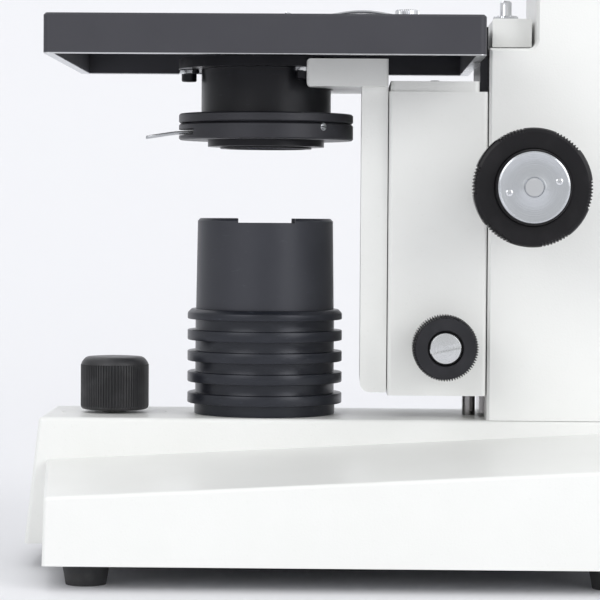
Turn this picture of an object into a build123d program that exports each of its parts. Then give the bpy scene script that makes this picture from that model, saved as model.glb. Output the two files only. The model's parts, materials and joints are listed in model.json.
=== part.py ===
from build123d import *
import math
import os

# While the pieces are drawn, x = 0, y = 0 is the optical axis. -X is the side where the user
# sits, -Y is the user's right hand, and the rubber feet stand on z = 0. The finished assembly
# is moved along X, so that its origin is the middle of its bounding box at table height.

# Clearances
run = 0.05                      # radial, on shafts, sleeves and tubes that turn or slide
slide = 0.15                    # each side of a flat slide in its groove
gap = 0.3                       # daylight between neighbours that move past each other
set_in = 0.1                    # each side of a piece that is set into a recess or a hole

# Base
foot_height = 7.0
foot_top_radius = 7.0
foot_bottom_radius = 5.75
foot_front_x = -48.6
foot_back_x = 100.6
foot_y = 59.0
base_width = 150.0
base_back_x = 118.0
base_wall = 4.0
wing_front_inner_x = -64.7
wing_front_outer_x = -59.4
wing_inner_height = 25.0
wing_outer_height = 19.05
wing_rise = 3.05                # degrees, towards the back
wing_draft = 1.5                # degrees
spine_height = 37.5
spine_top_half = 23.7
spine_draft = 2.0               # degrees, on the long sides
spine_front_x = -66.3
spine_front_draft = 6.2         # degrees
edge_round = 1.2
plate_thickness = 2.0
boss_radius = 5.0
boss_inset = 14.0
screw_radius = 1.5
screw_head_radius = 2.8
screw_head_height = 1.8

vent_count = 6
vent_pitch = 6.0
vent_width = 3.0
vent_half_length = 15.0
vent_start_x = -15.0

# Lamp transformer and dimmer board, inside the spine
core_front_x = 52.0
core_length = 40.0
core_half_width = 15.0
core_height = 26.0
core_limb = 8.0                 # width of an outer limb
core_yoke = 6.0
coil_overhang = 3.5
coil_clearance = 0.4
board_front_x = -60.0
board_length = 46.0
board_half_width = 17.0
board_thickness = 1.6
board_lift = 5.0
board_post_radius = 2.0
board_post_inset = 4.0
heatsink_x = -30.0
heatsink_size = (8.0, 12.0, 10.4)
capacitor_x = -22.0
capacitor_y = 9.0
capacitor_radius = 4.0
capacitor_height = 11.4

# Power inlet and switch, on the back of the base
inlet_width = 27.0
inlet_height = 20.0
inlet_depth = 20.0
inlet_flange = 2.0
inlet_ear = 9.0
inlet_wall = 1.8
inlet_y = 0.0
blade_width = 4.0
blade_thickness = 2.0
blade_length = 13.0
blade_spread = 7.0
blade_offset = 4.0
switch_y = -47.0
switch_width = 19.0
switch_height = 13.0
switch_depth = 16.0
switch_bezel = 1.6
rocker_tilt = 8.0               # degrees
rocker_pin_radius = 1.0
rocker_pin_height = 6.0         # half its length

# Brightness control
knob_x = -45.8
knob_radius = 10.4
knob_height = 16.1
knob_rib_count = 36
knob_rib_depth = 0.4
knob_lift = 0.9
dial_radius = 15.7
dial_thickness = 0.4
pot_radius = 8.0
pot_height = 9.0
pot_shaft_radius = 3.0
pot_shaft_height = 12.0

# Illuminator
stub_height = 3.4
stub_radius = 21.4
fin_count = 5
fin_radius = 23.55
fin_thickness = 3.1
fin_pitch = 6.35
fin_groove_radius = 21.15
housing_wall = 3.4
sleeve_height = 27.5
sleeve_foot_radius = 21.0
sleeve_top_radius = 20.6
sleeve_wall = 2.6
sleeve_spigot = 9.0
sleeve_notch_width = 17.0
sleeve_notch_depth = 1.4
notch_turn = 3.0                # degrees
collector_wall = 1.1
collector_thickness = 7.0
collector_depth = 5.0
collector_edge = 3.0
diffuser_thickness = 2.0
bulb_radius = 5.2
bulb_height = 22.0
socket_width = 15.0
socket_height = 9.0

# Column and arm
column_front_x = 66.6
column_back_x = 112.0
column_half_width = 23.5
column_height = 110.1
column_wall = 6.0
arm_front_x = -42.0
arm_riser_x = 80.4
arm_height = 32.0
arm_inner_round = 28.0
arm_outer_round = 50.0
arm_nose_round = 20.0
arm_clearance = 29.8            # from the objective shoulder up to the underside of the arm
light_bore = 11.0
cover_half_width = 14.0
cover_low = 62.0
cover_height = 70.0
cover_thickness = 2.0

# Stage focusing slide
focus_axis_x = 77.3
focus_axis_height = 68.7        # above the top of the base
focus_travel = 17.0
focus_height = 16.0             # stage lift that brings a slide into focus
coarse_module = 0.8
coarse_web = 0.2                # least metal between the pinion's bore and the roots of its teeth
rack_backing = 1.0
rack_half_width = 4.0
slide_key_x = 65.1
slide_neck_half = 9.0
slide_flange_half = 13.0
slide_flange_depth = 2.1
slide_foot = 1.0                # from the top of the base up to the lower end of the slide
slide_head = 0.8                # from the column's ledge up to the upper end of the slide
stop_block_x = 67.8
stop_block_length = 11.7
stop_block_half_width = 15.0
stop_block_height = 8.5
stop_screw_radius = 3.8
stop_screw_x = 72.6
stop_stem_radius = 1.8
stop_stem_height = 4.6
rod_x = 62.3
rod_radius = 2.0
rod_length = 80.0
rod_depth = 8.0
bush_radius = 2.6
bush_length = 9.0

# Focus knobs
coarse_tube_radius = 4.0
fine_shaft_radius = 2.5
coarse_bush_radius = 6.5
coarse_radius = 16.95
coarse_rim = 9.0
coarse_face_y = 58.0
coarse_hub_radius = 11.0
fine_radius = 10.75
fine_thickness = 3.4
insert_radius = 10.2
insert_thickness = 1.0
insert_screw_circle = 7.2
insert_screw_radius = 1.05

# Stage carrier
block_front_x = 37.1
block_back_x = 66.3
block_half_width = 23.0
block_lift = 7.2                # above the top of the base, stage fully down
block_height = 90.0
cap_thickness = 3.1
cap_screw_x = 51.3
hanger_half_width = 20.0
stage_standoff = 8.8            # from the top of the block up to the stage's lower edge
stage_front_x = -61.8
stage_back_x = 64.0
stage_half_width = 55.5
stage_height = 11.5
stage_thickness = 4.0
stage_skirt = 2.8
stage_aperture = 16.0
stage_corner = 2.0
clip_x = 42.0
clip_y = 27.0
clip_reach = 36.0
clip_width = 8.0
clip_spring = 0.8
clip_post_radius = 2.0
clip_head_radius = 3.6
clip_head_height = 2.2

# Condenser drive
condenser_up = 5.5
condenser_down = 7.0
condenser_module = 0.7
condenser_axis_x = 53.5
condenser_axis_height = 15.1    # above the bottom of the block
rail_web_half = 5.0
rail_flange_half = 8.0
rail_web_depth = 3.5
rail_bottom = 4.3               # above the bottom of the block
rail_length = 79.0
rack_margin = 11.5
condenser_shaft_radius = 2.5
condenser_web = 1.4             # least metal between that pinion's bore and its roots
condenser_bush_radius = 4.5
condenser_knob_radius = 9.5
condenser_knob_length = 14.0
condenser_knob_face_y = 45.0
knob_recess_radius = 5.2
knob_screw_radius = 4.6
knob_screw_slot = 1.1
knob_screw_turn = 17.6          # degrees

# Condenser carrier and condenser
strip_front_x = 29.0
strip_half_width = 20.0
strip_bottom = 0.7              # above the bottom of the block
fork_front_x = 12.6
fork_half_width = 24.5
fork_height = 8.1
fork_rise = 9.5                 # top of the fork above the top of the block
holder_radius = 26.6
holder_thickness = 3.0
holder_seat = 2.2               # depth of the holder's seat in the fork
holder_screw_circle = 23.5
holder_screw_radius = 2.3
holder_washer_radius = 3.1
holder_washer = 1.4
holder_screw_head = 2.3
condenser_radius = 19.7
condenser_drop = 13.5           # holder's lower face down to the iris housing
condenser_wall = 3.0
top_cap_radius = 14.0
top_cap_height = 4.0
top_lens_radius = 10.5
iris_radius = 26.5
iris_upper = 2.8
iris_split = 0.3
iris_lower = 4.8
iris_bore = 14.5
iris_ring_radius = 22.0
iris_ring_thickness = 1.2
iris_leaf_count = 8
iris_leaf = 0.15
iris_swing = 30.0               # degrees each way
iris_slot_margin = 1.5          # degrees beyond the swing
lever_reach = 36.6
lever_width = 3.4
foot_ring_radius = 17.7
foot_ring_height = 2.0
field_ring_radius = 13.9
field_ring_height = 0.6
field_lens_radius = 12.2

# Nosepiece and objectives
slide_glass = 1.2
parfocal = 45.0
turret_tilt = 16.0              # degrees
turret_circle = 19.5            # radius from the turret's axis to each objective's seat
turret_places = 4
turret_radius = 34.0
turret_thickness = 8.0
pivot_radius = 7.0
seat_radius = 30.0
seat_x = -12.0
thread_radius = 10.16
thread_length = 4.5
objective_radius = 12.0
objective_wall = 3.0
objective_lengths = [28.0, 38.0, 44.4, 44.8]
objective_tips = [8.0, 5.5, 4.0, 3.2]

# Binocular head
mount_ring_radius = 28.0
mount_ring_height = 7.0
neck_radius = 21.9
neck_depth = 5.0
head_flange_height = 6.7
head_half_width = 46.0
head_depth = 70.0
head_wall = 5.0
head_front_x = -46.0
head_slope = 30.0               # degrees, tubes above the horizontal
face_length = 44.0
eye_spacing = 64.0
eye_travel = 5.0
carrier_half_width = 21.7
carrier_half_height = 17.0
carrier_thickness = 5.0
carrier_lip = 2.2
guide_width = 5.3
wheel_height = 6.0
tube_radius = 15.0
tube_bore = 11.6
tube_length = 45.0
diopter_wall = 2.5
diopter_length = 10.0
diopter_place = 12.0
eyepiece_radius = 15.5
eyepiece_length = 22.0
eyepiece_lift = 20.0
eyepiece_hold = 4.0             # barrel left in the tube when the eyepiece is raised
eyecup_radius = 17.0
eyecup_length = 9.0
eyecup_overlap = 5.0
eye_lens_radius = 9.0
lock_radius = 5.0
lock_length = 12.0
lock_stem_radius = 2.0

# Teeth, in modules
tooth_root = 1.15               # pitch line down to the root of a pinion's tooth
tooth_tip = 0.8                 # pitch line up to its tip
rack_root = 1.25                # pitch line down to the root of a rack's tooth
rack_tooth = 2.0                # height of a rack's tooth


def least_teeth(module, bore, web):
    """The smallest number of teeth that leaves metal around a pinion's bore."""
    return math.ceil(2 * (bore + web + tooth_root * module) / module)


# Heights and places that follow from the sizes above
base_z = foot_height
deck_z = base_z + spine_height
housing_z = deck_z
fins_z = housing_z + stub_height
fins_top_z = fins_z + (fin_count - 1) * fin_pitch + fin_thickness
sleeve_z = fins_top_z
sleeve_top_z = sleeve_z + sleeve_height
ledge_z = deck_z + column_height
block_z = deck_z + block_lift
block_top_z = block_z + block_height
stage_z = block_top_z + stage_standoff
stage_top_z = stage_z + stage_height
shoulder_z = stage_top_z + slide_glass + parfocal + focus_height
arm_z = shoulder_z + arm_clearance
arm_top_z = arm_z + arm_height
focus_axis_z = deck_z + focus_axis_height
coarse_teeth = least_teeth(coarse_module, coarse_tube_radius, coarse_web)
coarse_pitch_radius = coarse_module * coarse_teeth / 2
coarse_root_x = focus_axis_x - coarse_pitch_radius - rack_root * coarse_module
slide_back_x = coarse_root_x - rack_backing
slide_flange_x = slide_back_x - slide_flange_depth
slide_top_z = ledge_z + slide_head
strip_back_x = block_front_x - gap
condenser_axis_z = block_z + condenser_axis_height
condenser_teeth = least_teeth(condenser_module, condenser_shaft_radius, condenser_web)
condenser_pitch_radius = condenser_module * condenser_teeth / 2
condenser_root_x = condenser_axis_x - condenser_pitch_radius - rack_root * condenser_module
rail_back_x = condenser_root_x - rack_backing
rail_flange_x = strip_back_x + rail_web_depth
rail_z = block_z + rail_bottom
fork_top_z = block_top_z + fork_rise
fork_z = fork_top_z - fork_height
holder_z = fork_top_z - holder_seat
holder_top_z = holder_z + holder_thickness
iris_top_z = holder_z - condenser_drop
iris_mid_z = iris_top_z - iris_upper - iris_split
iris_z = iris_mid_z - iris_lower
lever_z = iris_z + 1.6
seat_reach = turret_circle / math.sin(math.radians(turret_tilt))
apex_z = shoulder_z + seat_reach
turret_low = seat_reach * math.cos(math.radians(turret_tilt))
turret_top = turret_low - turret_thickness - 4.0
ring_top_z = arm_top_z + mount_ring_height
head_z = ring_top_z + gap + head_flange_height
rack_length = condenser_up + condenser_down + rack_margin
spigot_radius = fin_groove_radius - housing_wall - run
collector_radius = spigot_radius - collector_wall
wheel_radius = eye_spacing / 2 - carrier_half_width - eye_travel - gap
diopter_radius = tube_radius + diopter_wall
eyepiece_barrel = eyepiece_lift + eyepiece_hold
lean = math.radians(head_slope)
face_x = head_front_x + face_length / 2 * math.sin(lean)
face_z = head_z + 3.0 + face_length / 2 * math.cos(lean)

head_face = Plane(
    origin=(face_x, 0, face_z), x_dir=(0, 1, 0), z_dir=(-math.cos(lean), 0, math.sin(lean))
)
turret_frame = Plane(
    origin=(0, 0, apex_z),
    x_dir=(math.cos(math.radians(turret_tilt)), 0, -math.sin(math.radians(turret_tilt))),
    z_dir=(-math.sin(math.radians(turret_tilt)), 0, -math.cos(math.radians(turret_tilt))),
)


def block(x0, x1, y0, y1, z0, z1):
    """A box between two corners."""
    return Pos((x0 + x1) / 2, (y0 + y1) / 2, (z0 + z1) / 2) * Box(x1 - x0, y1 - y0, z1 - z0)


def upright(radius, z0, z1, x=0, y=0):
    """A vertical cylinder."""
    return Pos(x, y, (z0 + z1) / 2) * Cylinder(radius, z1 - z0)


def upright_ring(outer, inner, z0, z1, x=0, y=0):
    """A vertical tube."""
    return upright(outer, z0, z1, x, y) - upright(inner, z0 - 1, z1 + 1, x, y)


def across(radius, x, z, y0, y1):
    """A cylinder along Y."""
    return Pos(x, (y0 + y1) / 2, z) * Rot(90, 0, 0) * Cylinder(radius, y1 - y0)


def across_ring(outer, inner, x, z, y0, y1):
    """A tube along Y."""
    return across(outer, x, z, y0, y1) - across(inner, x, z, y0 - 1, y1 + 1)


def along(radius, y, z, x0, x1):
    """A cylinder along X."""
    return Pos((x0 + x1) / 2, y, z) * Rot(0, 90, 0) * Cylinder(radius, x1 - x0)


def bevel_ends(piece, size):
    """Chamfer the round edges at the lower and upper end of a turned piece."""
    ends = piece.edges().filter_by(GeomType.CIRCLE).group_by(Axis.Z)
    return chamfer(ends[0] + ends[-1], size)


def turned(points):
    """A piece turned about Z from its outline, given as (radius, height) corners."""
    outline = make_face(Polyline(*[(r, 0, z) for r, z in points], close=True))
    return revolve(outline, Axis.Z)


def group(*pieces):
    """Several solids kept apart in one sub-part."""
    return Compound([solid for piece in pieces for solid in piece.solids()])


def mirrored(piece):
    """A piece and its mirror image on the other side of the instrument."""
    return group(piece, mirror(piece, about=Plane.XZ))


def screws(places, z_head, length, head_down=False):
    """Pan-head screws at the given (x, y) places, heads up unless head_down."""
    turn = -1 if head_down else 1
    pieces = []
    for x, y in places:
        head = sorted([z_head, z_head + turn * screw_head_height])
        stem = sorted([z_head, z_head - turn * length])
        screw = upright(screw_head_radius, *head, x, y) + upright(screw_radius, *stem, x, y)
        pieces.append(screw)
    return group(*pieces)


def gear(teeth, module, bore, width):
    """A pinion on the Z axis with slim straight teeth, one of them pointing to -X."""
    pitch = module * teeth / 2
    root = pitch - tooth_root * module
    tip = pitch + tooth_tip * module
    half_root = 0.75 * module / root
    half_tip = 0.25 * module / tip
    corners = []
    for k in range(teeth):
        middle = math.pi + 2 * math.pi * k / teeth
        for radius, turn in [(root, -half_root), (tip, -half_tip), (tip, half_tip), (root, half_root)]:
            corners.append((radius * math.cos(middle + turn), radius * math.sin(middle + turn)))
    wheel = extrude(make_face(Polyline(*corners, close=True)), width / 2, both=True)
    return wheel - Cylinder(bore, width + 2)


def rack(root_x, low, high, module, pinion_z, half_width):
    """A vertical rack with its teeth towards +X, spaced to take a pinion tooth at pinion_z."""
    pitch = math.pi * module
    body = block(root_x - rack_backing, root_x, -half_width, half_width, low, high)
    first = math.ceil((low + pitch / 2 - pinion_z) / pitch - 0.5)
    last = math.floor((high - pitch / 2 - pinion_z) / pitch - 0.5)
    reach = rack_tooth * module
    for k in range(first, last + 1):
        z = pinion_z + (k + 0.5) * pitch
        tooth = Plane.XZ * make_face(Polyline(
            (root_x - 0.1, z - 0.70 * module), (root_x + reach, z - 0.22 * module),
            (root_x + reach, z + 0.22 * module), (root_x - 0.1, z + 0.70 * module), close=True,
        ))
        body += extrude(tooth, half_width, both=True)
    return body


# ---------------------------------------------------------------- base

def base_form(inset):
    """The outside of the base, or the space inside its walls when inset is the wall."""
    low = base_z if inset == 0 else base_z - 1
    half = base_width / 2 - inset
    inner = spine_top_half - inset
    back = base_back_x - inset
    rise = math.tan(math.radians(wing_rise))
    start = wing_front_inner_x - 5
    inner_z = base_z + wing_inner_height - 5 * rise - inset
    outer_z = base_z + wing_outer_height - (wing_front_outer_x - start) * rise - inset
    fall = (inner_z - outer_z) / (base_width / 2 - spine_top_half)
    edge_z = inner_z - fall * (half - inner)
    root = inner / 2
    root_z = inner_z + fall * (inner - root)
    section = Plane.YZ.offset(start) * make_face(Polyline(
        (root, low - 30), (root, root_z), (half, edge_z), (half, low - 30), close=True,
    ))
    length = base_back_x - start + 20
    slab = extrude(section, length, dir=(1, 0, rise))
    plan = Plane.XY.offset(low) * make_face(Polyline(
        (back, root), (back, half), (wing_front_outer_x + inset, half),
        (wing_front_inner_x + inset, inner), (wing_front_inner_x + inset, root), close=True,
    ))
    wing = slab & extrude(plan, spine_height, taper=wing_draft)
    height = deck_z - inset - low
    sides = height * math.tan(math.radians(spine_draft))
    front = height * math.tan(math.radians(spine_front_draft))
    top_front = spine_front_x + inset
    foot = Plane.XY.offset(low) * make_face(Polyline(
        (top_front - front, -inner - sides), (top_front - front, inner + sides),
        (back, inner + sides), (back, -inner - sides), close=True,
    ))
    top = Plane.XY.offset(low + height) * make_face(Polyline(
        (top_front, -inner), (top_front, inner), (back - 1, inner), (back - 1, -inner), close=True,
    ))
    spine = loft([foot, top])
    if inset == 0:
        spine = fillet(spine.edges().filter_by(lambda e: e.center().Z > low + height / 3), edge_round)
        upper = wing.edges().filter_by(lambda e: e.center().Z > base_z + 5)
        wing = fillet(upper.filter_by(lambda e: e.center().Y > root + 2), edge_round)
    return wing + mirror(wing, about=Plane.XZ) + spine


def boss_places():
    """Where the bottom plate is screwed to the casting."""
    front = wing_front_outer_x + boss_inset
    back = base_back_x - boss_inset
    side = base_width / 2 - boss_inset * 1.6
    return [(front + 14, -side), (front + 14, side), (back - 22, -side), (back - 22, side)]


def base_casting():
    """The hollow base: a tall spine between two low wings, open underneath."""
    form = base_form(0)
    casting = form - base_form(base_wall)
    for x, y in boss_places():
        post = upright(boss_radius, base_z + plate_thickness, deck_z, x, y) & form
        casting += post - upright(screw_radius, base_z, base_z + 14, x, y)
    casting -= upright(pot_shaft_radius + 1, base_z, deck_z + 1, knob_x)
    casting -= upright(dial_radius + set_in, deck_z - dial_thickness, deck_z + 1, knob_x)
    casting -= upright(socket_width / 2 + 2, deck_z - base_wall - 1, deck_z + 1)
    casting -= upright(rod_radius, deck_z - rod_depth, deck_z + 1, rod_x)
    for y in (-column_half_width / 2, column_half_width / 2):
        casting -= upright(screw_radius + 1, deck_z - base_wall - 1, deck_z + 1, column_bolt_x(), y)
    casting -= inlet_shell_form(set_in)
    casting -= switch_form(set_in)
    return casting


def column_bolt_x():
    """The line of the two bolts that hold the column on the base."""
    return column_back_x - column_wall / 2 - 12


def panel_z():
    """Height of the switch and the inlet."""
    return base_z + plate_thickness + inlet_height / 2 + 1.5


def bottom_plate():
    """Sheet steel plate that closes the base, let in level with the rim."""
    half = base_width / 2 - base_wall - set_in - 1
    front = base_wall + set_in + 1
    outline = make_face(Polyline(
        (wing_front_outer_x + front, -half), (wing_front_inner_x + front, -spine_top_half),
        (wing_front_inner_x + front, spine_top_half), (wing_front_outer_x + front, half),
        (base_back_x - front, half), (base_back_x - front, -half), close=True,
    ))
    plate = extrude(Plane.XY.offset(base_z) * outline, plate_thickness, dir=(0, 0, 1))
    for x, y in boss_places():
        plate -= upright(screw_radius + 0.3, base_z - 1, base_z + 5, x, y)
    for k in range(vent_count):
        x = vent_start_x + k * vent_pitch
        plate -= block(
            x - vent_width / 2, x + vent_width / 2, -vent_half_length, vent_half_length,
            base_z - 1, base_z + plate_thickness + 1,
        )
    return plate


def foot_places():
    """Where the four feet stand."""
    return [(x, side * foot_y) for x in (foot_front_x, foot_back_x) for side in (-1, 1)]


def rubber_feet():
    """Four tapered rubber feet, each with a pocket for its screw."""
    feet = []
    for x, y in foot_places():
        foot = Pos(x, y, 0) * turned([
            (0, 0), (foot_bottom_radius, 0), (foot_top_radius, foot_height), (0, foot_height),
        ])
        foot -= upright(screw_head_radius + set_in, -1, foot_height / 2, x, y)
        foot -= upright(screw_radius, -1, foot_height + 1, x, y)
        feet.append(foot)
    return group(*feet)


def foot_screws():
    """The screws that hold the feet on the bottom plate."""
    return screws(foot_places(), foot_height / 2, foot_height / 2 - 0.2, head_down=True)


def plate_screws():
    """The four screws of the bottom plate."""
    return screws(boss_places(), base_z, 12, head_down=True)


# ---------------------------------------------------------------- mains side

def inlet_shell_form(grow):
    """The body of the power inlet, larger by grow on its sides."""
    return block(
        base_back_x - inlet_depth + inlet_flange, base_back_x + 1,
        inlet_y - inlet_width / 2 - grow, inlet_y + inlet_width / 2 + grow,
        panel_z() - inlet_height / 2 - grow, panel_z() + inlet_height / 2 + grow,
    )


def power_inlet():
    """Appliance inlet: a flanged shell with an open cavity around the three blades."""
    z = panel_z()
    flange = block(
        base_back_x, base_back_x + inlet_flange,
        inlet_y - inlet_width / 2 - inlet_ear, inlet_y + inlet_width / 2 + inlet_ear,
        z - inlet_height / 2 - 1, z + inlet_height / 2 + 1,
    )
    shell = inlet_shell_form(0) & block(0, base_back_x, -99, 99, 0, 99)
    cavity = block(
        base_back_x - inlet_depth + inlet_flange + inlet_wall, base_back_x + inlet_flange + 1,
        inlet_y - inlet_width / 2 + inlet_wall, inlet_y + inlet_width / 2 - inlet_wall,
        z - inlet_height / 2 + inlet_wall, z + inlet_height / 2 - inlet_wall,
    )
    inlet = fillet(flange.edges().filter_by(Axis.X), 3) + shell - cavity
    for side in (-1, 1):
        y = inlet_y + side * (inlet_width / 2 + inlet_ear / 2)
        inlet -= along(screw_radius, y, z, base_back_x - 1, base_back_x + inlet_flange + 1)
    return inlet


def inlet_blades():
    """The three contact blades of the inlet."""
    x0 = base_back_x - inlet_depth + inlet_flange + inlet_wall
    z = panel_z()
    blades = []
    for y, dz in [(-blade_spread, 0), (blade_spread, 0), (0, blade_offset)]:
        blades.append(block(
            x0, x0 + blade_length, inlet_y + y - blade_thickness / 2, inlet_y + y + blade_thickness / 2,
            z + dz - blade_width / 2, z + dz + blade_width / 2,
        ))
    return group(*blades)


def inlet_screws():
    """The two screws of the inlet's flange."""
    face = base_back_x + inlet_flange
    pieces = []
    for side in (-1, 1):
        y = inlet_y + side * (inlet_width / 2 + inlet_ear / 2)
        head = along(screw_head_radius, y, panel_z(), face, face + screw_head_height)
        stem = along(screw_radius, y, panel_z(), face - inlet_flange, face)
        pieces.append(head + stem)
    return group(*pieces)


def switch_form(grow):
    """The body of the rocker switch behind its bezel, larger by grow on its sides."""
    return block(
        base_back_x - switch_depth, base_back_x + 1,
        switch_y - switch_width / 2 - grow, switch_y + switch_width / 2 + grow,
        panel_z() - switch_height / 2 - grow, panel_z() + switch_height / 2 + grow,
    )


def switch_housing():
    """Rocker switch body with its bezel and the pocket that the rocker sits in."""
    z = panel_z()
    body = switch_form(0) & block(0, base_back_x, -99, 99, 0, 99)
    bezel = block(
        base_back_x, base_back_x + switch_bezel,
        switch_y - switch_width / 2 - 1.5, switch_y + switch_width / 2 + 1.5,
        z - switch_height / 2 - 1.5, z + switch_height / 2 + 1.5,
    )
    pocket = block(
        base_back_x - 8, base_back_x + switch_bezel + 1,
        switch_y - switch_width / 2 + 1.5, switch_y + switch_width / 2 - 1.5,
        z - switch_height / 2 + 1.5, z + switch_height / 2 - 1.5,
    )
    reach = rocker_pin_height + set_in
    pin = upright(rocker_pin_radius + run, z - reach, z + reach, rocker_axis_x(), switch_y)
    return body + bezel - pocket - pin


def rocker_axis_x():
    """Where the rocker's pivot line lies, in the switch housing."""
    return base_back_x - 3.0


def rocker():
    """The rocker, pressed to its off side: a shallow V that tips about a vertical pivot line."""
    z = panel_z()
    half = switch_width / 2 - 1.5 - gap - 0.9
    tall = switch_height / 2 - 1.5 - gap
    x = rocker_axis_x()
    outline = Plane.XY.offset(z - tall) * make_face(Polyline(
        (x - 2, switch_y - 2.5), (x - 2, switch_y + 2.5), (x + 1.4, switch_y + half),
        (x + 5.4, switch_y + half), (x + 4.6, switch_y), (x + 5.4, switch_y - half),
        (x + 1.4, switch_y - half), close=True,
    ))
    body = extrude(outline, 2 * tall, dir=(0, 0, 1))
    body += upright(rocker_pin_radius, z - rocker_pin_height, z + rocker_pin_height, x, switch_y)
    return Pos(x, switch_y, 0) * Rot(0, 0, -rocker_tilt) * Pos(-x, -switch_y, 0) * body


def transformer():
    """Laminated core of the lamp transformer, in the spine under the column."""
    low = base_z + plate_thickness
    back = core_front_x + core_length
    core = block(core_front_x, back, -core_half_width, core_half_width, low, low + core_height)
    for x in (core_front_x + core_limb, back - 2 * core_limb + coil_window_inset()):
        core -= block(
            x, x + core_limb - coil_window_inset(), -core_half_width - 1, core_half_width + 1,
            low + core_yoke, low + core_height - core_yoke,
        )
    return core


def coil_window_inset():
    """How much narrower a window of the core is than an outer limb."""
    return core_limb / 2


def transformer_coil():
    """The winding around the middle limb of the core."""
    low = base_z + plate_thickness
    front = core_front_x + core_limb
    back = core_front_x + core_length - core_limb
    window = core_limb - coil_window_inset()
    outer = block(
        front + coil_clearance, back - coil_clearance, -core_half_width - coil_overhang,
        core_half_width + coil_overhang, low + core_yoke + coil_clearance,
        low + core_height - core_yoke - coil_clearance,
    )
    return outer - block(
        front + window - set_in, back - window + set_in, -core_half_width - set_in,
        core_half_width + set_in, low, low + core_height,
    )


def dimmer_board():
    """Circuit board of the brightness control, on the bottom plate's posts."""
    low = base_z + plate_thickness + board_lift
    top = low + board_thickness
    back = board_front_x + board_length
    board = block(board_front_x, back, -board_half_width, board_half_width, low, top)
    for x in (board_front_x + board_post_inset, back - board_post_inset):
        for y in (-board_half_width + board_post_inset, board_half_width - board_post_inset):
            board += upright(board_post_radius, low - board_lift, low, x, y)
    wide, deep, tall = heatsink_size
    board += block(heatsink_x, heatsink_x + wide, -deep + 2, 2, top, top + tall)
    return board + upright(capacitor_radius, top, top + capacitor_height, capacitor_x, capacitor_y)


# ---------------------------------------------------------------- brightness control

def brightness_dial():
    """Round plate let in level with the deck, around the knob."""
    dial = upright(dial_radius, deck_z - dial_thickness, deck_z, knob_x)
    return dial - upright(pot_shaft_radius + 1, 0, deck_z + 1, knob_x)


def potentiometer():
    """The control's body, nut-fixed under the deck."""
    top = deck_z - base_wall
    body = upright(pot_radius, top - pot_height, top, knob_x)
    return body - upright(pot_shaft_radius + run, top - pot_height + 2, top + 1, knob_x)


def potentiometer_shaft():
    """The shaft that the knob is pressed on."""
    low = deck_z - base_wall - pot_height + 2.2
    return upright(pot_shaft_radius, low, deck_z + pot_shaft_height, knob_x)


def brightness_knob():
    """Ribbed knob with a smooth, chamfered top."""
    low = deck_z + knob_lift
    top = low + knob_height
    body = Pos(knob_x, 0, 0) * turned([
        (0, low), (knob_radius - 1.2, low), (knob_radius, low + 1.2), (knob_radius, top - 2.2),
        (knob_radius - 1.4, top - 0.8), (knob_radius - 1.8, top), (0, top),
    ])
    for k in range(knob_rib_count):
        turn = 2 * math.pi * k / knob_rib_count
        x = knob_x + (knob_radius + 0.25) * math.cos(turn)
        y = (knob_radius + 0.25) * math.sin(turn)
        body -= upright(knob_rib_depth + 0.25, low - 1, top - 2, x, y)
    return body - upright(pot_shaft_radius, low - 1, deck_z + pot_shaft_height, knob_x)


# ---------------------------------------------------------------- illuminator

def illuminator_housing():
    """Finned lamp house, open at the top, with a wire hole in its floor."""
    outline = [(0, housing_z), (stub_radius, housing_z), (stub_radius, fins_z)]
    for k in range(fin_count):
        z = fins_z + k * fin_pitch
        top = z + fin_thickness
        outline += [(fin_radius, z), (fin_radius, top - (1.2 if k == fin_count - 1 else 0))]
        if k < fin_count - 1:
            outline += [(fin_radius, top), (fin_groove_radius, top), (fin_groove_radius, z + fin_pitch)]
    outline += [(fin_radius - 1.2, fins_top_z), (0, fins_top_z)]
    clean = [p for i, p in enumerate(outline) if i == 0 or p != outline[i - 1]]
    housing = turned(clean)
    housing -= upright(fin_groove_radius - housing_wall, housing_z + 3, fins_top_z + 1)
    return housing - upright(socket_width / 2 - 2, housing_z - 1, housing_z + 4)


def filter_sleeve():
    """Lift-off tube that carries the collector lens, with two finger notches in its rim."""
    inside = sleeve_top_radius - sleeve_wall
    sleeve = turned([
        (spigot_radius, sleeve_z - sleeve_spigot), (spigot_radius, sleeve_z), (sleeve_foot_radius, sleeve_z),
        (sleeve_top_radius, sleeve_top_z - 0.8), (sleeve_top_radius - 0.8, sleeve_top_z),
        (inside, sleeve_top_z), (inside, sleeve_top_z - collector_depth),
        (collector_radius, sleeve_top_z - collector_depth),
        (collector_radius, sleeve_top_z - collector_depth - collector_thickness),
        (collector_radius - 1.6, sleeve_top_z - collector_depth - collector_thickness),
        (collector_radius - 1.6, sleeve_z - sleeve_spigot),
    ])
    half = sleeve_notch_width / 2
    notch = block(-half, half, -99, 99, sleeve_top_z - sleeve_notch_depth, sleeve_top_z + 1)
    return sleeve - Rot(0, 0, notch_turn) * notch


def collector_lens():
    """Plano-convex collector lens, flat side down on its shoulder."""
    low = sleeve_top_z - collector_depth - collector_thickness
    crown = low + collector_thickness - 0.5
    rise = crown - low - collector_edge
    ball = (collector_radius ** 2 + rise ** 2) / (2 * rise)
    return upright(collector_radius, low, crown) & Pos(0, 0, crown - ball) * Sphere(ball)


def diffuser_disc():
    """Frosted glass disc, held in the sleeve under the collector lens."""
    top = sleeve_top_z - collector_depth - collector_thickness - 4
    return upright(collector_radius - 1.6, top - diffuser_thickness, top)


def lamp_socket():
    """Ceramic socket on the floor of the lamp house."""
    half = socket_width / 2
    low = housing_z + 3
    return block(-half, half, -half / 2, half / 2, low, low + socket_height)


def halogen_bulb():
    """Capsule bulb standing in the socket."""
    low = housing_z + 3 + socket_height
    body = upright(bulb_radius, low, low + bulb_height - bulb_radius)
    return body + Pos(0, 0, low + bulb_height - bulb_radius) * Sphere(bulb_radius)


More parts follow.
